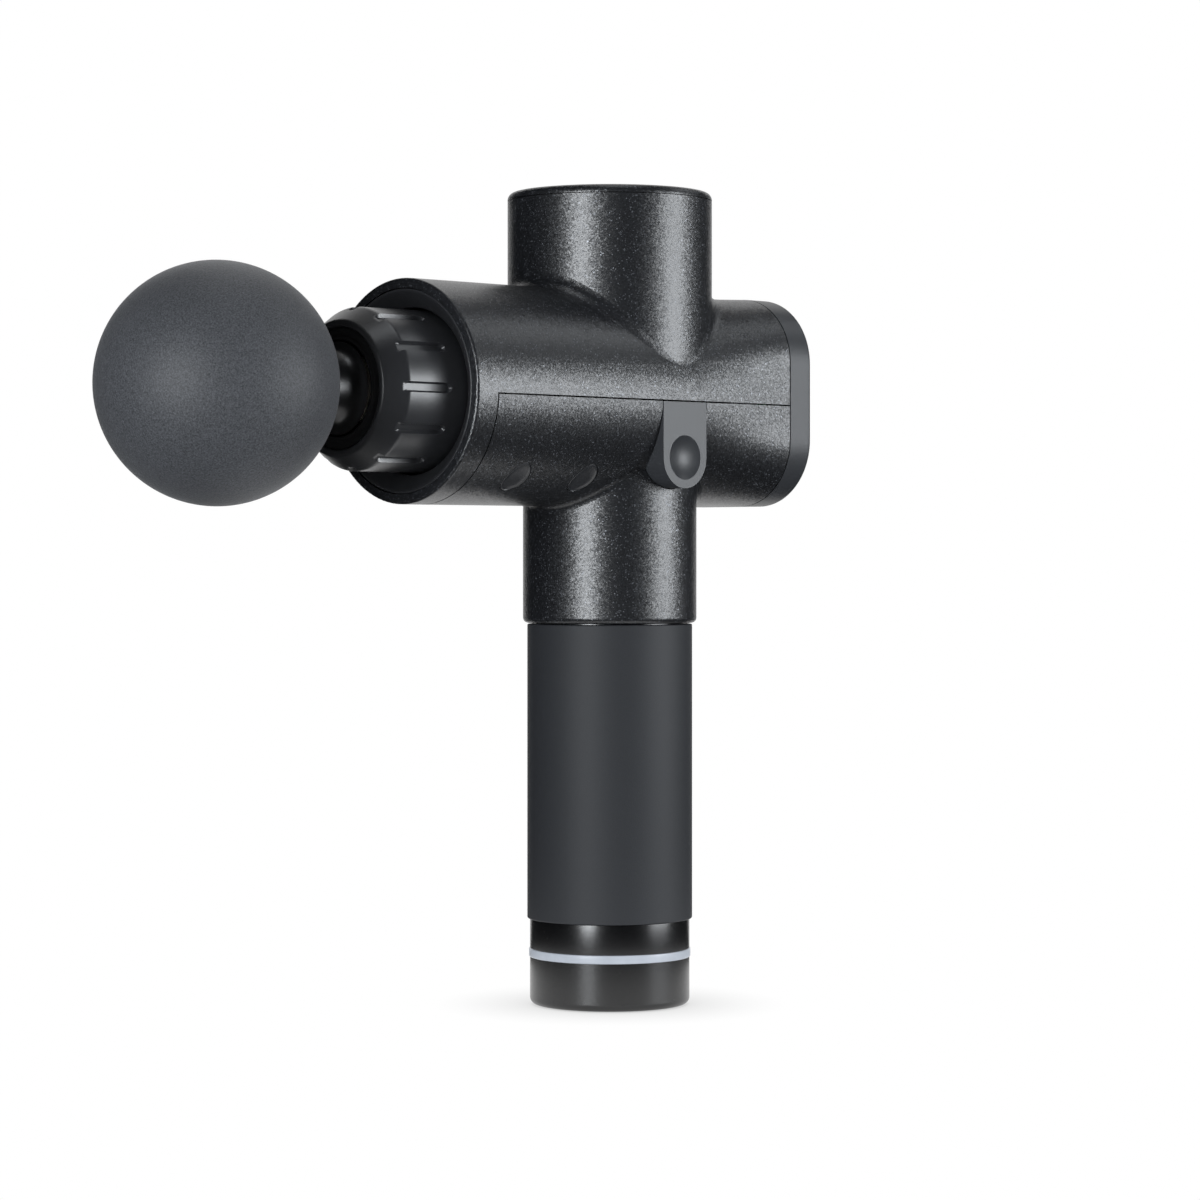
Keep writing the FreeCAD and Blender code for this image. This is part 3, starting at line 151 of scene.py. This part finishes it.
def seen_rays(tree):
    """1 for rays from the camera, from a reflection or through glass, else 0."""
    path = add(tree, "ShaderNodeLightPath")
    both = add(tree, "ShaderNodeMath", {"operation": "MAXIMUM"},
               {0: path.outputs["Is Camera Ray"], 1: path.outputs["Is Glossy Ray"]})
    return add(tree, "ShaderNodeMath", {"operation": "MAXIMUM"},
               {0: both.outputs[0], 1: path.outputs["Is Transmission Ray"]}).outputs[0]


def make_world():
    """White where it is seen, and a dim fill where it only lights."""
    world = bpy.data.worlds.new("studio")
    bpy.context.scene.world = world
    world.use_nodes = True
    tree = world.node_tree
    tree.nodes.clear()
    fill = add(tree, "ShaderNodeBackground", {"Color": WHITE, "Strength": FILL_STRENGTH})
    white = add(tree, "ShaderNodeBackground", {"Color": WHITE, "Strength": 1.0})
    mix = add(tree, "ShaderNodeMixShader", None,
              {0: seen_rays(tree), 1: fill.outputs[0], 2: white.outputs[0]})
    add(tree, "ShaderNodeOutputWorld", None, {"Surface": mix.outputs[0]})


def make_floor():
    """A white sheet with a painted shadow: its glow darkens by ambient occlusion only where the massager
    stands close over it.
    """
    mesh = bpy.data.meshes.new("floor")
    edge = FLOOR_HALF_SIDE
    corners = [(-edge, -edge, 0), (edge, -edge, 0), (edge, edge, 0), (-edge, edge, 0)]
    mesh.from_pydata(corners, [], [(0, 1, 2, 3)])
    floor = bpy.data.objects.new("floor", mesh)
    floor.location = (0, 0, -FLOOR_DROP)
    bpy.context.scene.collection.objects.link(floor)
    material = bpy.data.materials.new("white paper sheet")
    material.use_nodes = True
    tree = material.node_tree
    tree.nodes.clear()
    paper = add(tree, "ShaderNodeBsdfDiffuse", {"Color": (0.8, 0.8, 0.8, 1)})
    # painted shadow: ambient occlusion dims the floor's glow near the massager's base
    shade = add(tree, "ShaderNodeAmbientOcclusion", {"Distance": SHADE_REACH, "samples": 8})
    lift = add(tree, "ShaderNodeMapRange", {"To Min": SHADE_DEEPEST, "To Max": 1.0},
               {"Value": shade.outputs["AO"]})
    place = add(tree, "ShaderNodeTexCoord")
    away = add(tree, "ShaderNodeVectorMath", {"operation": "LENGTH"}, {0: place.outputs["Object"]})
    clear = add(tree, "ShaderNodeMapRange", {"From Min": SHADE_RADII[0], "From Max": SHADE_RADII[1]},
                {"Value": away.outputs["Value"]})
    level = add(tree, "ShaderNodeMath", {"operation": "MAXIMUM"}, {0: lift.outputs[0], 1: clear.outputs[0]})
    glow = add(tree, "ShaderNodeEmission", {"Color": WHITE}, {"Strength": level.outputs[0]})
    mix = add(tree, "ShaderNodeMixShader", None,
              {0: seen_rays(tree), 1: paper.outputs[0], 2: glow.outputs[0]})
    add(tree, "ShaderNodeOutputMaterial", None, {"Surface": mix.outputs[0]})
    mesh.materials.append(material)


def make_booth(first, last, inner, outer, low, high):
    """A black booth round the massager, open behind it: a low ring, a wall and a lid.

    Its rows of points are the ring's inner edge, the wall's foot and top, and the lid's
    inner edge, each carried round from one angle to another. Only reflections see it.
    """
    steps = BOOTH_STEPS
    angles = np.radians(np.linspace(first, last, steps))
    across = np.outer(np.cos(angles), towards_camera) + np.outer(np.sin(angles), rightwards)
    rows = [across * inner + (0, 0, low), across * outer + (0, 0, low),
            across * outer + (0, 0, high), across * inner + (0, 0, high)]
    starts = [row * steps + step for row in range(3) for step in range(steps - 1)]
    faces = [(start, start + 1, start + steps + 1, start + steps) for start in starts]
    mesh = bpy.data.meshes.new("black_booth")
    mesh.from_pydata(np.concatenate(rows).tolist(), [], faces)
    booth = bpy.data.objects.new("black_booth", mesh)
    bpy.context.scene.collection.objects.link(booth)
    booth.visible_camera = False
    booth.visible_diffuse = False
    booth.visible_shadow = False
    material = bpy.data.materials.new("black studio cloth")
    material.use_nodes = True
    cloth = material.node_tree.nodes["Principled BSDF"]
    cloth.inputs["Base Color"].default_value = (0.01, 0.01, 0.01, 1)
    cloth.inputs["Roughness"].default_value = 1.0
    mesh.materials.append(material)


bpy.context.scene.view_settings.view_transform = "Standard"
make_camera()
make_world()
make_floor()
make_booth(first=-152, last=152, inner=0.1, outer=2.2, low=0.002, high=2.4)
make_light("left_softbox", turn=-31, distance=1.2, height=0.22, width=0.38, length=0.46, power=9.2)
make_light("right_softbox", turn=76, distance=1.2, height=0.25, width=0.68, length=0.50, power=8.8)
make_light("rear_softbox", turn=113, distance=1.2, height=1.25, width=0.7, length=0.5, power=1.6)
make_light("top_softbox", turn=20, distance=0.3, height=1.7, width=0.5, length=0.5, power=1.5)

# ---- materials ---------------------------------------------------------------------------


def linear(colour):
    """Turns an sRGB hex colour to the linear values that shaders use."""
    parts = [int(colour[start:start + 2], 16) / 255 for start in (1, 3, 5)]
    curve = [part / 12.92 if part <= 0.04045 else ((part + 0.055) / 1.055) ** 2.4 for part in parts]
    return (*curve, 1.0)


def fresh(name, colour, roughness, metallic=0.0, **sockets):
    """A new material with its main values set on the shader, its node tree and the shader."""
    material = bpy.data.materials.new(name)
    material.use_nodes = True
    tree = material.node_tree
    shader = tree.nodes["Principled BSDF"]
    shader.inputs["Base Color"].default_value = linear(colour)
    shader.inputs["Roughness"].default_value = roughness
    shader.inputs["Metallic"].default_value = metallic
    for socket, value in sockets.items():
        shader.inputs[socket.replace("_", " ")].default_value = value
    return material, tree, shader


def flecked_abs(name, colour, powder, fleck):
    """ABS moulded with silver flake: a dark satin skin that sparkles inside its highlights.

    Each flake lies at its own small tilt, so it glints alone. Real flake is about 0.1 mm
    across and is drawn at 0.32 mm, the finest that shows.
    """
    material, tree, shader = fresh(name, colour, 0.36, Specular_IOR_Level=1.0)
    place = add(tree, "ShaderNodeTexCoord").outputs["Object"]
    flakes = add(tree, "ShaderNodeTexVoronoi", {"Scale": 1 / (0.32 * MM)}, {"Vector": place})
    chance = add(tree, "ShaderNodeSeparateColor", None, {"Color": flakes.outputs["Color"]})
    chosen = add(tree, "ShaderNodeMapRange", {"From Min": 0.94, "From Max": 1.0},
                 {"Value": chance.outputs[0]})
    dust = add(tree, "ShaderNodeMix", {"data_type": "RGBA", 6: linear(colour), 7: linear(powder)},
               {0: chance.outputs[1]})
    skin = add(tree, "ShaderNodeMix", {"data_type": "RGBA", 7: linear(fleck)},
               {0: chosen.outputs[0], 6: dust.outputs[2]})
    shine = add(tree, "ShaderNodeMapRange", {"To Max": 0.5}, {"Value": chosen.outputs[0]})
    lean = add(tree, "ShaderNodeVectorMath", {"operation": "SUBTRACT", 1: (0.5, 0.5, 0.5)},
               {0: flakes.outputs["Color"]})
    steep = add(tree, "ShaderNodeMapRange", {"To Min": 0.16, "To Max": 0.26}, {"Value": chosen.outputs[0]})
    tilt = add(tree, "ShaderNodeVectorMath", {"operation": "SCALE"},
               {0: lean.outputs[0], "Scale": steep.outputs[0]})
    facing = add(tree, "ShaderNodeNewGeometry")
    turned = add(tree, "ShaderNodeVectorMath", {"operation": "ADD"},
                 {0: facing.outputs["Normal"], 1: tilt.outputs[0]})
    unit = add(tree, "ShaderNodeVectorMath", {"operation": "NORMALIZE"}, {0: turned.outputs[0]})
    waves = add(tree, "ShaderNodeTexNoise", {"Scale": 1 / (0.9 * MM), "Detail": 2.0}, {"Vector": place})
    bump = add(tree, "ShaderNodeBump", {"Strength": 0.5, "Distance": 0.01 * MM},
               {"Height": waves.outputs["Fac"], "Normal": unit.outputs[0]})
    join(tree, shader,
         {"Base Color": skin.outputs[2], "Metallic": shine.outputs[0], "Normal": bump.outputs[0]})
    return material


def moulded(name, colour, light, roughness, grain_mm=0.5, depth_mm=0.01, **sockets):
    """Moulded plastic: the mould's fine grain breaks up its gloss, and its colour clouds slightly."""
    material, tree, shader = fresh(name, colour, roughness, **sockets)
    place = add(tree, "ShaderNodeTexCoord").outputs["Object"]
    cloud = add(tree, "ShaderNodeTexNoise", {"Scale": 1 / (14 * MM), "Detail": 3.0}, {"Vector": place})
    skin = add(tree, "ShaderNodeMix", {"data_type": "RGBA", 6: linear(colour), 7: linear(light)},
               {0: cloud.outputs["Fac"]})
    grain = add(tree, "ShaderNodeTexNoise", {"Scale": 1 / (grain_mm * MM), "Detail": 2.0}, {"Vector": place})
    dull = add(tree, "ShaderNodeMapRange", {"To Min": roughness - 0.05, "To Max": roughness + 0.05},
               {"Value": grain.outputs["Fac"]})
    bump = add(tree, "ShaderNodeBump", {"Distance": depth_mm * MM}, {"Height": grain.outputs["Fac"]})
    join(tree, shader,
         {"Base Color": skin.outputs[2], "Roughness": dull.outputs[0], "Normal": bump.outputs[0]})
    return material


def foam(name, colour, light):
    """Closed-cell EVA foam: its cut pores give a fine speckle, and its skin a soft sheen at the edge."""
    material, tree, shader = fresh(name, colour, 0.55, Sheen_Weight=0.12, Sheen_Roughness=0.45)
    place = add(tree, "ShaderNodeTexCoord").outputs["Object"]
    pores = add(tree, "ShaderNodeTexVoronoi", {"Scale": 1 / (0.6 * MM)}, {"Vector": place})
    speckle = add(tree, "ShaderNodeTexNoise", {"Scale": 1 / (0.45 * MM), "Detail": 3.0, "Roughness": 0.7},
                  {"Vector": place})
    spread = add(tree, "ShaderNodeMapRange", {"From Min": 0.3, "From Max": 0.7},
                 {"Value": speckle.outputs["Fac"]})
    skin = add(tree, "ShaderNodeMix", {"data_type": "RGBA", 6: linear(colour), 7: linear(light)},
               {0: spread.outputs[0]})
    height = add(tree, "ShaderNodeMath", {"operation": "ADD"},
                 {0: pores.outputs["Distance"], 1: speckle.outputs["Fac"]})
    bump = add(tree, "ShaderNodeBump", {"Strength": 0.7, "Distance": 0.08 * MM},
               {"Height": height.outputs[0]})
    join(tree, shader, {"Base Color": skin.outputs[2], "Normal": bump.outputs[0]})
    return material


def rubber(name, colour, light, roughness=0.6):
    """Moulded rubber: a dull skin whose very fine grain leaves no sharp highlight."""
    material, tree, shader = fresh(name, colour, roughness)
    place = add(tree, "ShaderNodeTexCoord").outputs["Object"]
    grain = add(tree, "ShaderNodeTexNoise", {"Scale": 1 / (0.35 * MM), "Detail": 2.0}, {"Vector": place})
    skin = add(tree, "ShaderNodeMix", {"data_type": "RGBA", 6: linear(colour), 7: linear(light)},
               {0: grain.outputs["Fac"]})
    bump = add(tree, "ShaderNodeBump", {"Strength": 0.6, "Distance": 0.03 * MM},
               {"Height": grain.outputs["Fac"]})
    join(tree, shader, {"Base Color": skin.outputs[2], "Normal": bump.outputs[0]})
    return material


def metal(name, colour, light, roughness, line_mm=0.3, stretch=(1, 1, 0.05)):
    """Turned or ground metal: fine tool lines draw its highlights out across them."""
    material, tree, shader = fresh(name, colour, roughness, 1.0)
    place = add(tree, "ShaderNodeTexCoord").outputs["Object"]
    drawn = add(tree, "ShaderNodeMapping", {"Scale": stretch}, {"Vector": place})
    lines = add(tree, "ShaderNodeTexNoise", {"Scale": 1 / (line_mm * MM), "Detail": 3.0},
                {"Vector": drawn.outputs[0]})
    skin = add(tree, "ShaderNodeMix", {"data_type": "RGBA", 6: linear(colour), 7: linear(light)},
               {0: lines.outputs["Fac"]})
    dull = add(tree, "ShaderNodeMapRange", {"To Min": roughness - 0.08, "To Max": roughness + 0.1},
               {"Value": lines.outputs["Fac"]})
    bump = add(tree, "ShaderNodeBump", {"Strength": 0.4, "Distance": 0.01 * MM},
               {"Height": lines.outputs["Fac"]})
    join(tree, shader,
         {"Base Color": skin.outputs[2], "Roughness": dull.outputs[0], "Normal": bump.outputs[0]})
    return material


def circuit(name, colour, light):
    """Lacquered circuit board: its copper tracks show through as paler, slightly raised bands."""
    material, tree, shader = fresh(name, colour, 0.35, Coat_Weight=0.4)
    place = add(tree, "ShaderNodeTexCoord").outputs["Object"]
    tracks = add(tree, "ShaderNodeTexBrick", {"Scale": 1 / (6 * MM), "Mortar Size": 0.08}, {"Vector": place})
    skin = add(tree, "ShaderNodeMix", {"data_type": "RGBA", 6: linear(colour), 7: linear(light)},
               {0: tracks.outputs["Fac"]})
    bump = add(tree, "ShaderNodeBump", {"Strength": 0.5, "Distance": 0.03 * MM},
               {"Height": tracks.outputs["Fac"]})
    join(tree, shader, {"Base Color": skin.outputs[2], "Normal": bump.outputs[0]})
    return material


def diffuser(name, colour, light):
    """Milky polycarbonate light guide: evenly pale, with a faint painted glow from its own emission."""
    # painted glow: the emission brightens the ring though no lamp lights it
    material, tree, shader = fresh(name, colour, 0.3, Emission_Strength=0.12)
    shader.inputs["Emission Color"].default_value = linear(light)
    place = add(tree, "ShaderNodeTexCoord").outputs["Object"]
    cloud = add(tree, "ShaderNodeTexNoise", {"Scale": 1 / (3 * MM), "Detail": 2.0}, {"Vector": place})
    skin = add(tree, "ShaderNodeMix", {"data_type": "RGBA", 6: linear(colour), 7: linear(light)},
               {0: cloud.outputs["Fac"]})
    join(tree, shader, {"Base Color": skin.outputs[2]})
    return material


FINISHES = {
    "shell_black": flecked_abs("black ABS with silver flake", "#0e0f12", "#202226", "#6f7278"),
    "cap_grey": moulded("satin grey-black ABS", "#303235", "#36383c", 0.42, Specular_IOR_Level=0.7),
    "collar_black": moulded("satin black ABS", "#26272a", "#2d2e31", 0.34, Specular_IOR_Level=1.0),
    "liner_black": moulded("matt black ABS", "#27282b", "#2d2e31", 0.42, Specular_IOR_Level=0.9),
    "gloss_black": moulded("semi-gloss black ABS", "#101012", "#151517", 0.34, 2.0, 0.004,
                           Specular_IOR_Level=1.0),
    "battery_black": moulded("black polycarbonate", "#060608", "#090a0c", 0.25, 0.8, 0.006,
                             Specular_IOR_Level=0.8),
    "grip_rubber": rubber("moulded silicone rubber", "#26282c", "#303236"),
    "seal_rubber": rubber("black nitrile rubber", "#131314", "#1b1b1c", 0.45),
    "ball_foam": foam("EVA foam", "#242629", "#585a5f"),
    "light_white": diffuser("milky polycarbonate", "#b2b8c2", "#c3c9d2"),
    "lens_glass": moulded("smoked acrylic", "#050507", "#08080a", 0.08, 3.0, 0.002),
    "steel": metal("ground steel", "#8d9094", "#b4b6b9", 0.32),
    "alloy": metal("turned aluminium", "#a4a7ab", "#c4c6c9", 0.36),
    "magnet_nickel": metal("nickel plate", "#b0ada6", "#c6c3bc", 0.2),
    "copper_winding": metal("enamelled copper wire", "#8f4a22", "#c8794a", 0.28, 0.6, (1, 1, 12)),
    "guide_plastic": moulded("glass-filled nylon", "#17181a", "#1f2022", 0.55),
    "bush_plastic": moulded("acetal", "#c9c5b8", "#d6d3c8", 0.4),
    "board_green": circuit("green circuit board", "#0d3b22", "#1d6b3c"),
    "chip_black": moulded("black epoxy moulding", "#101113", "#17181a", 0.5),
    "cell_wrap": moulded("blue heat-shrink film", "#1d4f80", "#22598f", 0.25),
    "contact_brass": metal("gilt brass", "#a98a3e", "#cdb069", 0.25),
}

slots = {item["node"]: item["material_slot"] for item in frame["record"]["subparts"]}
for node, item in frame["nodes"].items():
    item.data.materials.clear()
    item.data.materials.append(FINISHES[slots[node]])

# ---- pieces worked out as surfaces -------------------------------------------------------


def eased(corners, radius_mm, steps=6):
    """A closed outline whose corners are rounded.

    Each corner becomes a curve from a point before it to a point after it: the two
    ends lie the rounding's length away, or 0.45 of the side if that is less, and the
    points between are (1-t)^2 start + 2t(1-t) corner + t^2 end.
    """
    spots = np.array(corners, float)
    before = np.roll(spots, 1, axis=0) - spots
    after = np.roll(spots, -1, axis=0) - spots
    before_length = np.linalg.norm(before, axis=1, keepdims=True)
    after_length = np.linalg.norm(after, axis=1, keepdims=True)
    size = np.broadcast_to(np.array(radius_mm, float).reshape(-1, 1) * MM, before_length.shape)
    start = spots + before / before_length * np.minimum(size, 0.45 * before_length)
    end = spots + after / after_length * np.minimum(size, 0.45 * after_length)
    share = np.linspace(0, 1, steps).reshape(1, -1, 1)
    curve = ((1 - share) ** 2 * start[:, None] + 2 * share * (1 - share) * spots[:, None]
             + share ** 2 * end[:, None])
    return curve.reshape(-1, 2)


def surface(name, grids, body, slot, sharp_degrees=40):
    """A closed mesh from grids of points, each of which joins up in both directions.

    Points that meet at a pole become one, and the faces are turned outwards.
    """
    spots, faces, first = [], [], 0
    for grid in grids:
        rows, columns = grid.shape[:2]
        index = first + np.arange(rows * columns).reshape(rows, columns)
        down = np.roll(index, -1, axis=0)
        quads = np.stack([index, down, np.roll(down, -1, axis=1), np.roll(index, -1, axis=1)], axis=-1)
        spots.append(grid.reshape(-1, 3))
        faces.append(quads.reshape(-1, 4))
        first += rows * columns
    mesh = bpy.data.meshes.new(name)
    mesh.from_pydata(np.concatenate(spots).tolist(), [], np.concatenate(faces).tolist())
    work = bmesh.new()
    work.from_mesh(mesh)
    bmesh.ops.remove_doubles(work, verts=work.verts, dist=1e-7)
    bmesh.ops.dissolve_degenerate(work, edges=work.edges, dist=1e-8)
    bmesh.ops.recalc_face_normals(work, faces=work.faces)
    work.to_mesh(mesh)
    work.free()
    mesh.shade_smooth()
    mesh.set_sharp_from_angle(angle=math.radians(sharp_degrees))
    mesh.materials.append(FINISHES[slot])
    piece = bpy.data.objects.new(name, mesh)
    bpy.context.scene.collection.objects.link(piece)
    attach(piece, body)
    return piece


def turned_grid(profile, about, around=256, bend=None):
    """A profile carried round the handle axis ("up") or the barrel axis ("forward").

    The profile's points are (place along the axis, radius). A bend, if given, changes
    the radius by place and angle.
    """
    angles = np.linspace(0, 2 * math.pi, around, endpoint=False)
    along = np.repeat(profile[:, :1], around, axis=1)
    radius = np.repeat(profile[:, 1:], around, axis=1)
    turn = np.repeat(angles[None, :], len(profile), axis=0)
    if bend:
        radius = bend(along, radius, turn)
    if about == "up":
        return np.stack([radius * np.cos(turn), radius * np.sin(turn), along], axis=-1)
    return np.stack([along, radius * np.cos(turn), AXIS_Z + radius * np.sin(turn)], axis=-1)


def make_ball():
    """The foam ball: a sphere with a round well for the stem.

    Its profile has radius R sin t at place centre - R cos t, from the well's rim to the front.
    """
    well = 8.7 * MM
    rim = math.asin(well / BALL_RADIUS)
    arc = np.linspace(rim, math.pi, 150)
    skin = np.stack([BALL_X - BALL_RADIUS * np.cos(arc), BALL_RADIUS * np.sin(arc)], axis=1)
    skin[-1, 1] = 0
    floor = reach("head_stem")[1] + 0.1 * MM
    inside = np.array([(floor, 0), (floor, well)])
    profile = np.concatenate([skin, inside])
    piece = surface("foam_ball_skin", [turned_grid(profile, "forward", 320)], "head", "ball_foam")
    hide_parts("foam_ball")


def make_stem():
    """The head's stem: a spigot, a flange in the collar's mouth and a flared flank.

    The flank's radius is waist + taper l (1 - t) + (lip - waist - taper l) (1 - t)^8,
    for t along its length l, where the lip lies just inside the flange's rim.
    """
    low, high = reach("head_stem")
    flange = girth("head_stem")
    waist, taper = 8.6 * MM, 0.17
    spigot = 6.2 * MM
    flange_rear, flange_front, flank_front = 104.0 * MM, 107.4 * MM, 118.0 * MM
    bevel = 0.35 * MM
    to_front = 1 - np.linspace(0, 1, 40)
    length = flank_front - flange_front
    cone = taper * length
    flare = flange - bevel - waist - cone
    flank = np.stack([flank_front - to_front * length,
                      waist + cone * to_front + flare * to_front ** 8], axis=1)
    lip = np.array([(flange_front - bevel, flange)])
    steps = 6
    rear = eased([(low, 0), (low, spigot), (flange_rear, spigot), (flange_rear, flange),
                  (flange_front, flange)], 0.4, steps)[steps:-2 * steps]
    start = np.array([(low, 0)])
    end = np.array([(high, waist), (high, 0)])
    profile = np.concatenate([start, rear, lip, flank, end])
    piece = surface("stem_turning", [turned_grid(profile, "forward", 200)], "head", "gloss_black")
    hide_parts("head_stem")


FLUTES = 12


def fluted(along, radius, turn):
    """Cuts straight flutes into the collar.

    A flute's floor has one radius, so it fades out where the bevel falls below it. Its
    half width follows an ellipse over its rear end, and its walls are a short ramp.
    """
    width, floor, start, ramp = 1.25 * MM, 21.9 * MM, 85.2 * MM, 0.28 * MM
    step = 2 * math.pi / FLUTES
    aside = np.abs((turn + step / 2) % step - step / 2) * radius
    into = np.clip((along - start) / (2.2 * MM), 0, 1)
    half = width * np.sqrt(1 - (1 - into) ** 2)
    wall = np.clip((half - aside) / ramp + 0.5, 0, 1) * (into > 0)
    wall = wall * wall * (3 - 2 * wall)
    depth = np.maximum(radius - floor, 0) * wall * (radius > 18 * MM)
    return radius - depth


def make_collar():
    """The fluted collar: a tube with a bevelled front and an eased inner mouth.

    Rows are added along the barrel and the bevel, so that the flutes have points to bend.
    """
    rear, front = reach("nose_collar")
    outside = girth("nose_collar")
    bore, mouth, edge = 17.0 * MM, 18.9 * MM, 100.5 * MM
    steps = 5
    outline = eased([(rear, bore), (front - 0.5 * MM, bore), (front, bore + 0.6 * MM), (front, mouth),
                     (edge, outside), (rear, outside)], (0.2, 0.3, 0.2, 0.7, 0.6, 0.3), steps)
    line = np.linspace(edge - 0.9 * MM, rear + 0.6 * MM, 70)[1:-1]
    body = np.stack([line, np.full_like(line, outside)], axis=1)
    share = np.linspace(0.15, 0.85, 14)[:, None]
    bevel = np.array([(front, mouth)]) * (1 - share) + np.array([(edge, outside)]) * share
    to_mouth, to_edge = 4 * steps, 5 * steps
    profile = np.concatenate([outline[:to_mouth], bevel, outline[to_mouth:to_edge], body, outline[to_edge:]])
    grid = turned_grid(profile, "forward", FLUTES * 48, fluted)
    piece = surface("collar_turning", [grid], "housing", "collar_black", 50)
    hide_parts("nose_collar")


def make_seal():
    """The dust seal in the collar's mouth: a flat ring with a raised, rounded inner lip."""
    rear, front = reach("dust_seal")
    outside = girth("dust_seal")
    bore = 13.4 * MM
    outline = eased([(rear, bore), (front + 0.5 * MM, bore), (front + 0.5 * MM, bore + 1.0 * MM),
                     (front, bore + 1.5 * MM), (front, outside), (rear, outside)],
                    (0.2, 0.5, 0.5, 0.4, 0.2, 0.2))
    piece = surface("seal_moulding", [turned_grid(outline, "forward", 200)], "housing", "seal_rubber")
    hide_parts("dust_seal")


def make_liner():
    """The dished liner in the barrel's mouth, with a rolled outer edge."""
    rear, front = reach("nose_liner")
    outside = girth("nose_liner")
    bore = 23.7 * MM
    dish = 3.6 * MM
    thick = 1.6 * MM
    outline = eased([(rear, outside), (front, outside), (front, outside - 0.7 * MM),
                     (front - dish, bore), (front - dish - thick, bore), (front - thick, outside - thick),
                     (rear, outside - thick)], (0.3, 0.35, 0.6, 0.5, 0.3, 0.3, 0.3))
    piece = surface("liner_moulding", [turned_grid(outline, "forward")], "housing", "liner_black")
    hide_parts("nose_liner")


def make_round(name, node, slot, wall_mm, edge_mm):
    """A plain ring round the battery handle, with its edges eased."""
    low, high = reach(node, "z")
    outside = girth(node)
    inside = outside - wall_mm * MM
    outline = eased([(low, inside), (high, inside), (high, outside), (low, outside)], edge_mm)
    piece = surface(name, [turned_grid(outline, "up")], "battery", slot)
    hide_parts(node)


def make_plugs():
    """Four plugs that follow the barrel's round underside, each with a raised bead round its rim.

    A plug's point lies at a radius and turn round its screw, and at a height that puts it on
    the barrel's circle, moved out or in by an offset: z = axis - sqrt((R + offset)^2 - y^2).
    """
    low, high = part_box("screw_plugs")
    barrel = 32.0 * MM
    size = 4.35 * MM
    section = np.array([(0, -0.30), (0.5, -0.30), (0.80, -0.30), (0.86, -0.22), (0.90, 0.02), (0.94, 0.08),
                        (0.98, 0.02), (1, -0.2), (1, -2.6), (0.5, -2.6), (0, -2.6)])
    turn = np.linspace(0, 2 * math.pi, 72, endpoint=False)
    out = section[:, :1] * size
    grids = []
    for middle_x in (low.x + size, high.x - size):
        for middle_y in (low.y + size, high.y - size):
            across = middle_x + out * np.cos(turn)
            along = middle_y + out * np.sin(turn)
            ring = barrel + section[:, 1:] * MM
            grids.append(np.stack([across, along, AXIS_Z - np.sqrt(ring ** 2 - along ** 2)], axis=-1))
    piece = surface("plug_moulding", grids, "housing", "collar_black", 60)
    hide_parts("screw_plugs")


make_ball()
make_stem()
make_collar()
make_seal()
make_liner()
make_plugs()
make_round("sleeve_moulding", "grip_sleeve", "grip_rubber", wall_mm=1.9, edge_mm=0.5)
make_round("band_moulding", "handle_band", "battery_black", wall_mm=1.1, edge_mm=0.25)
make_round("ring_moulding", "light_ring", "light_white", wall_mm=3.2, edge_mm=0.35)
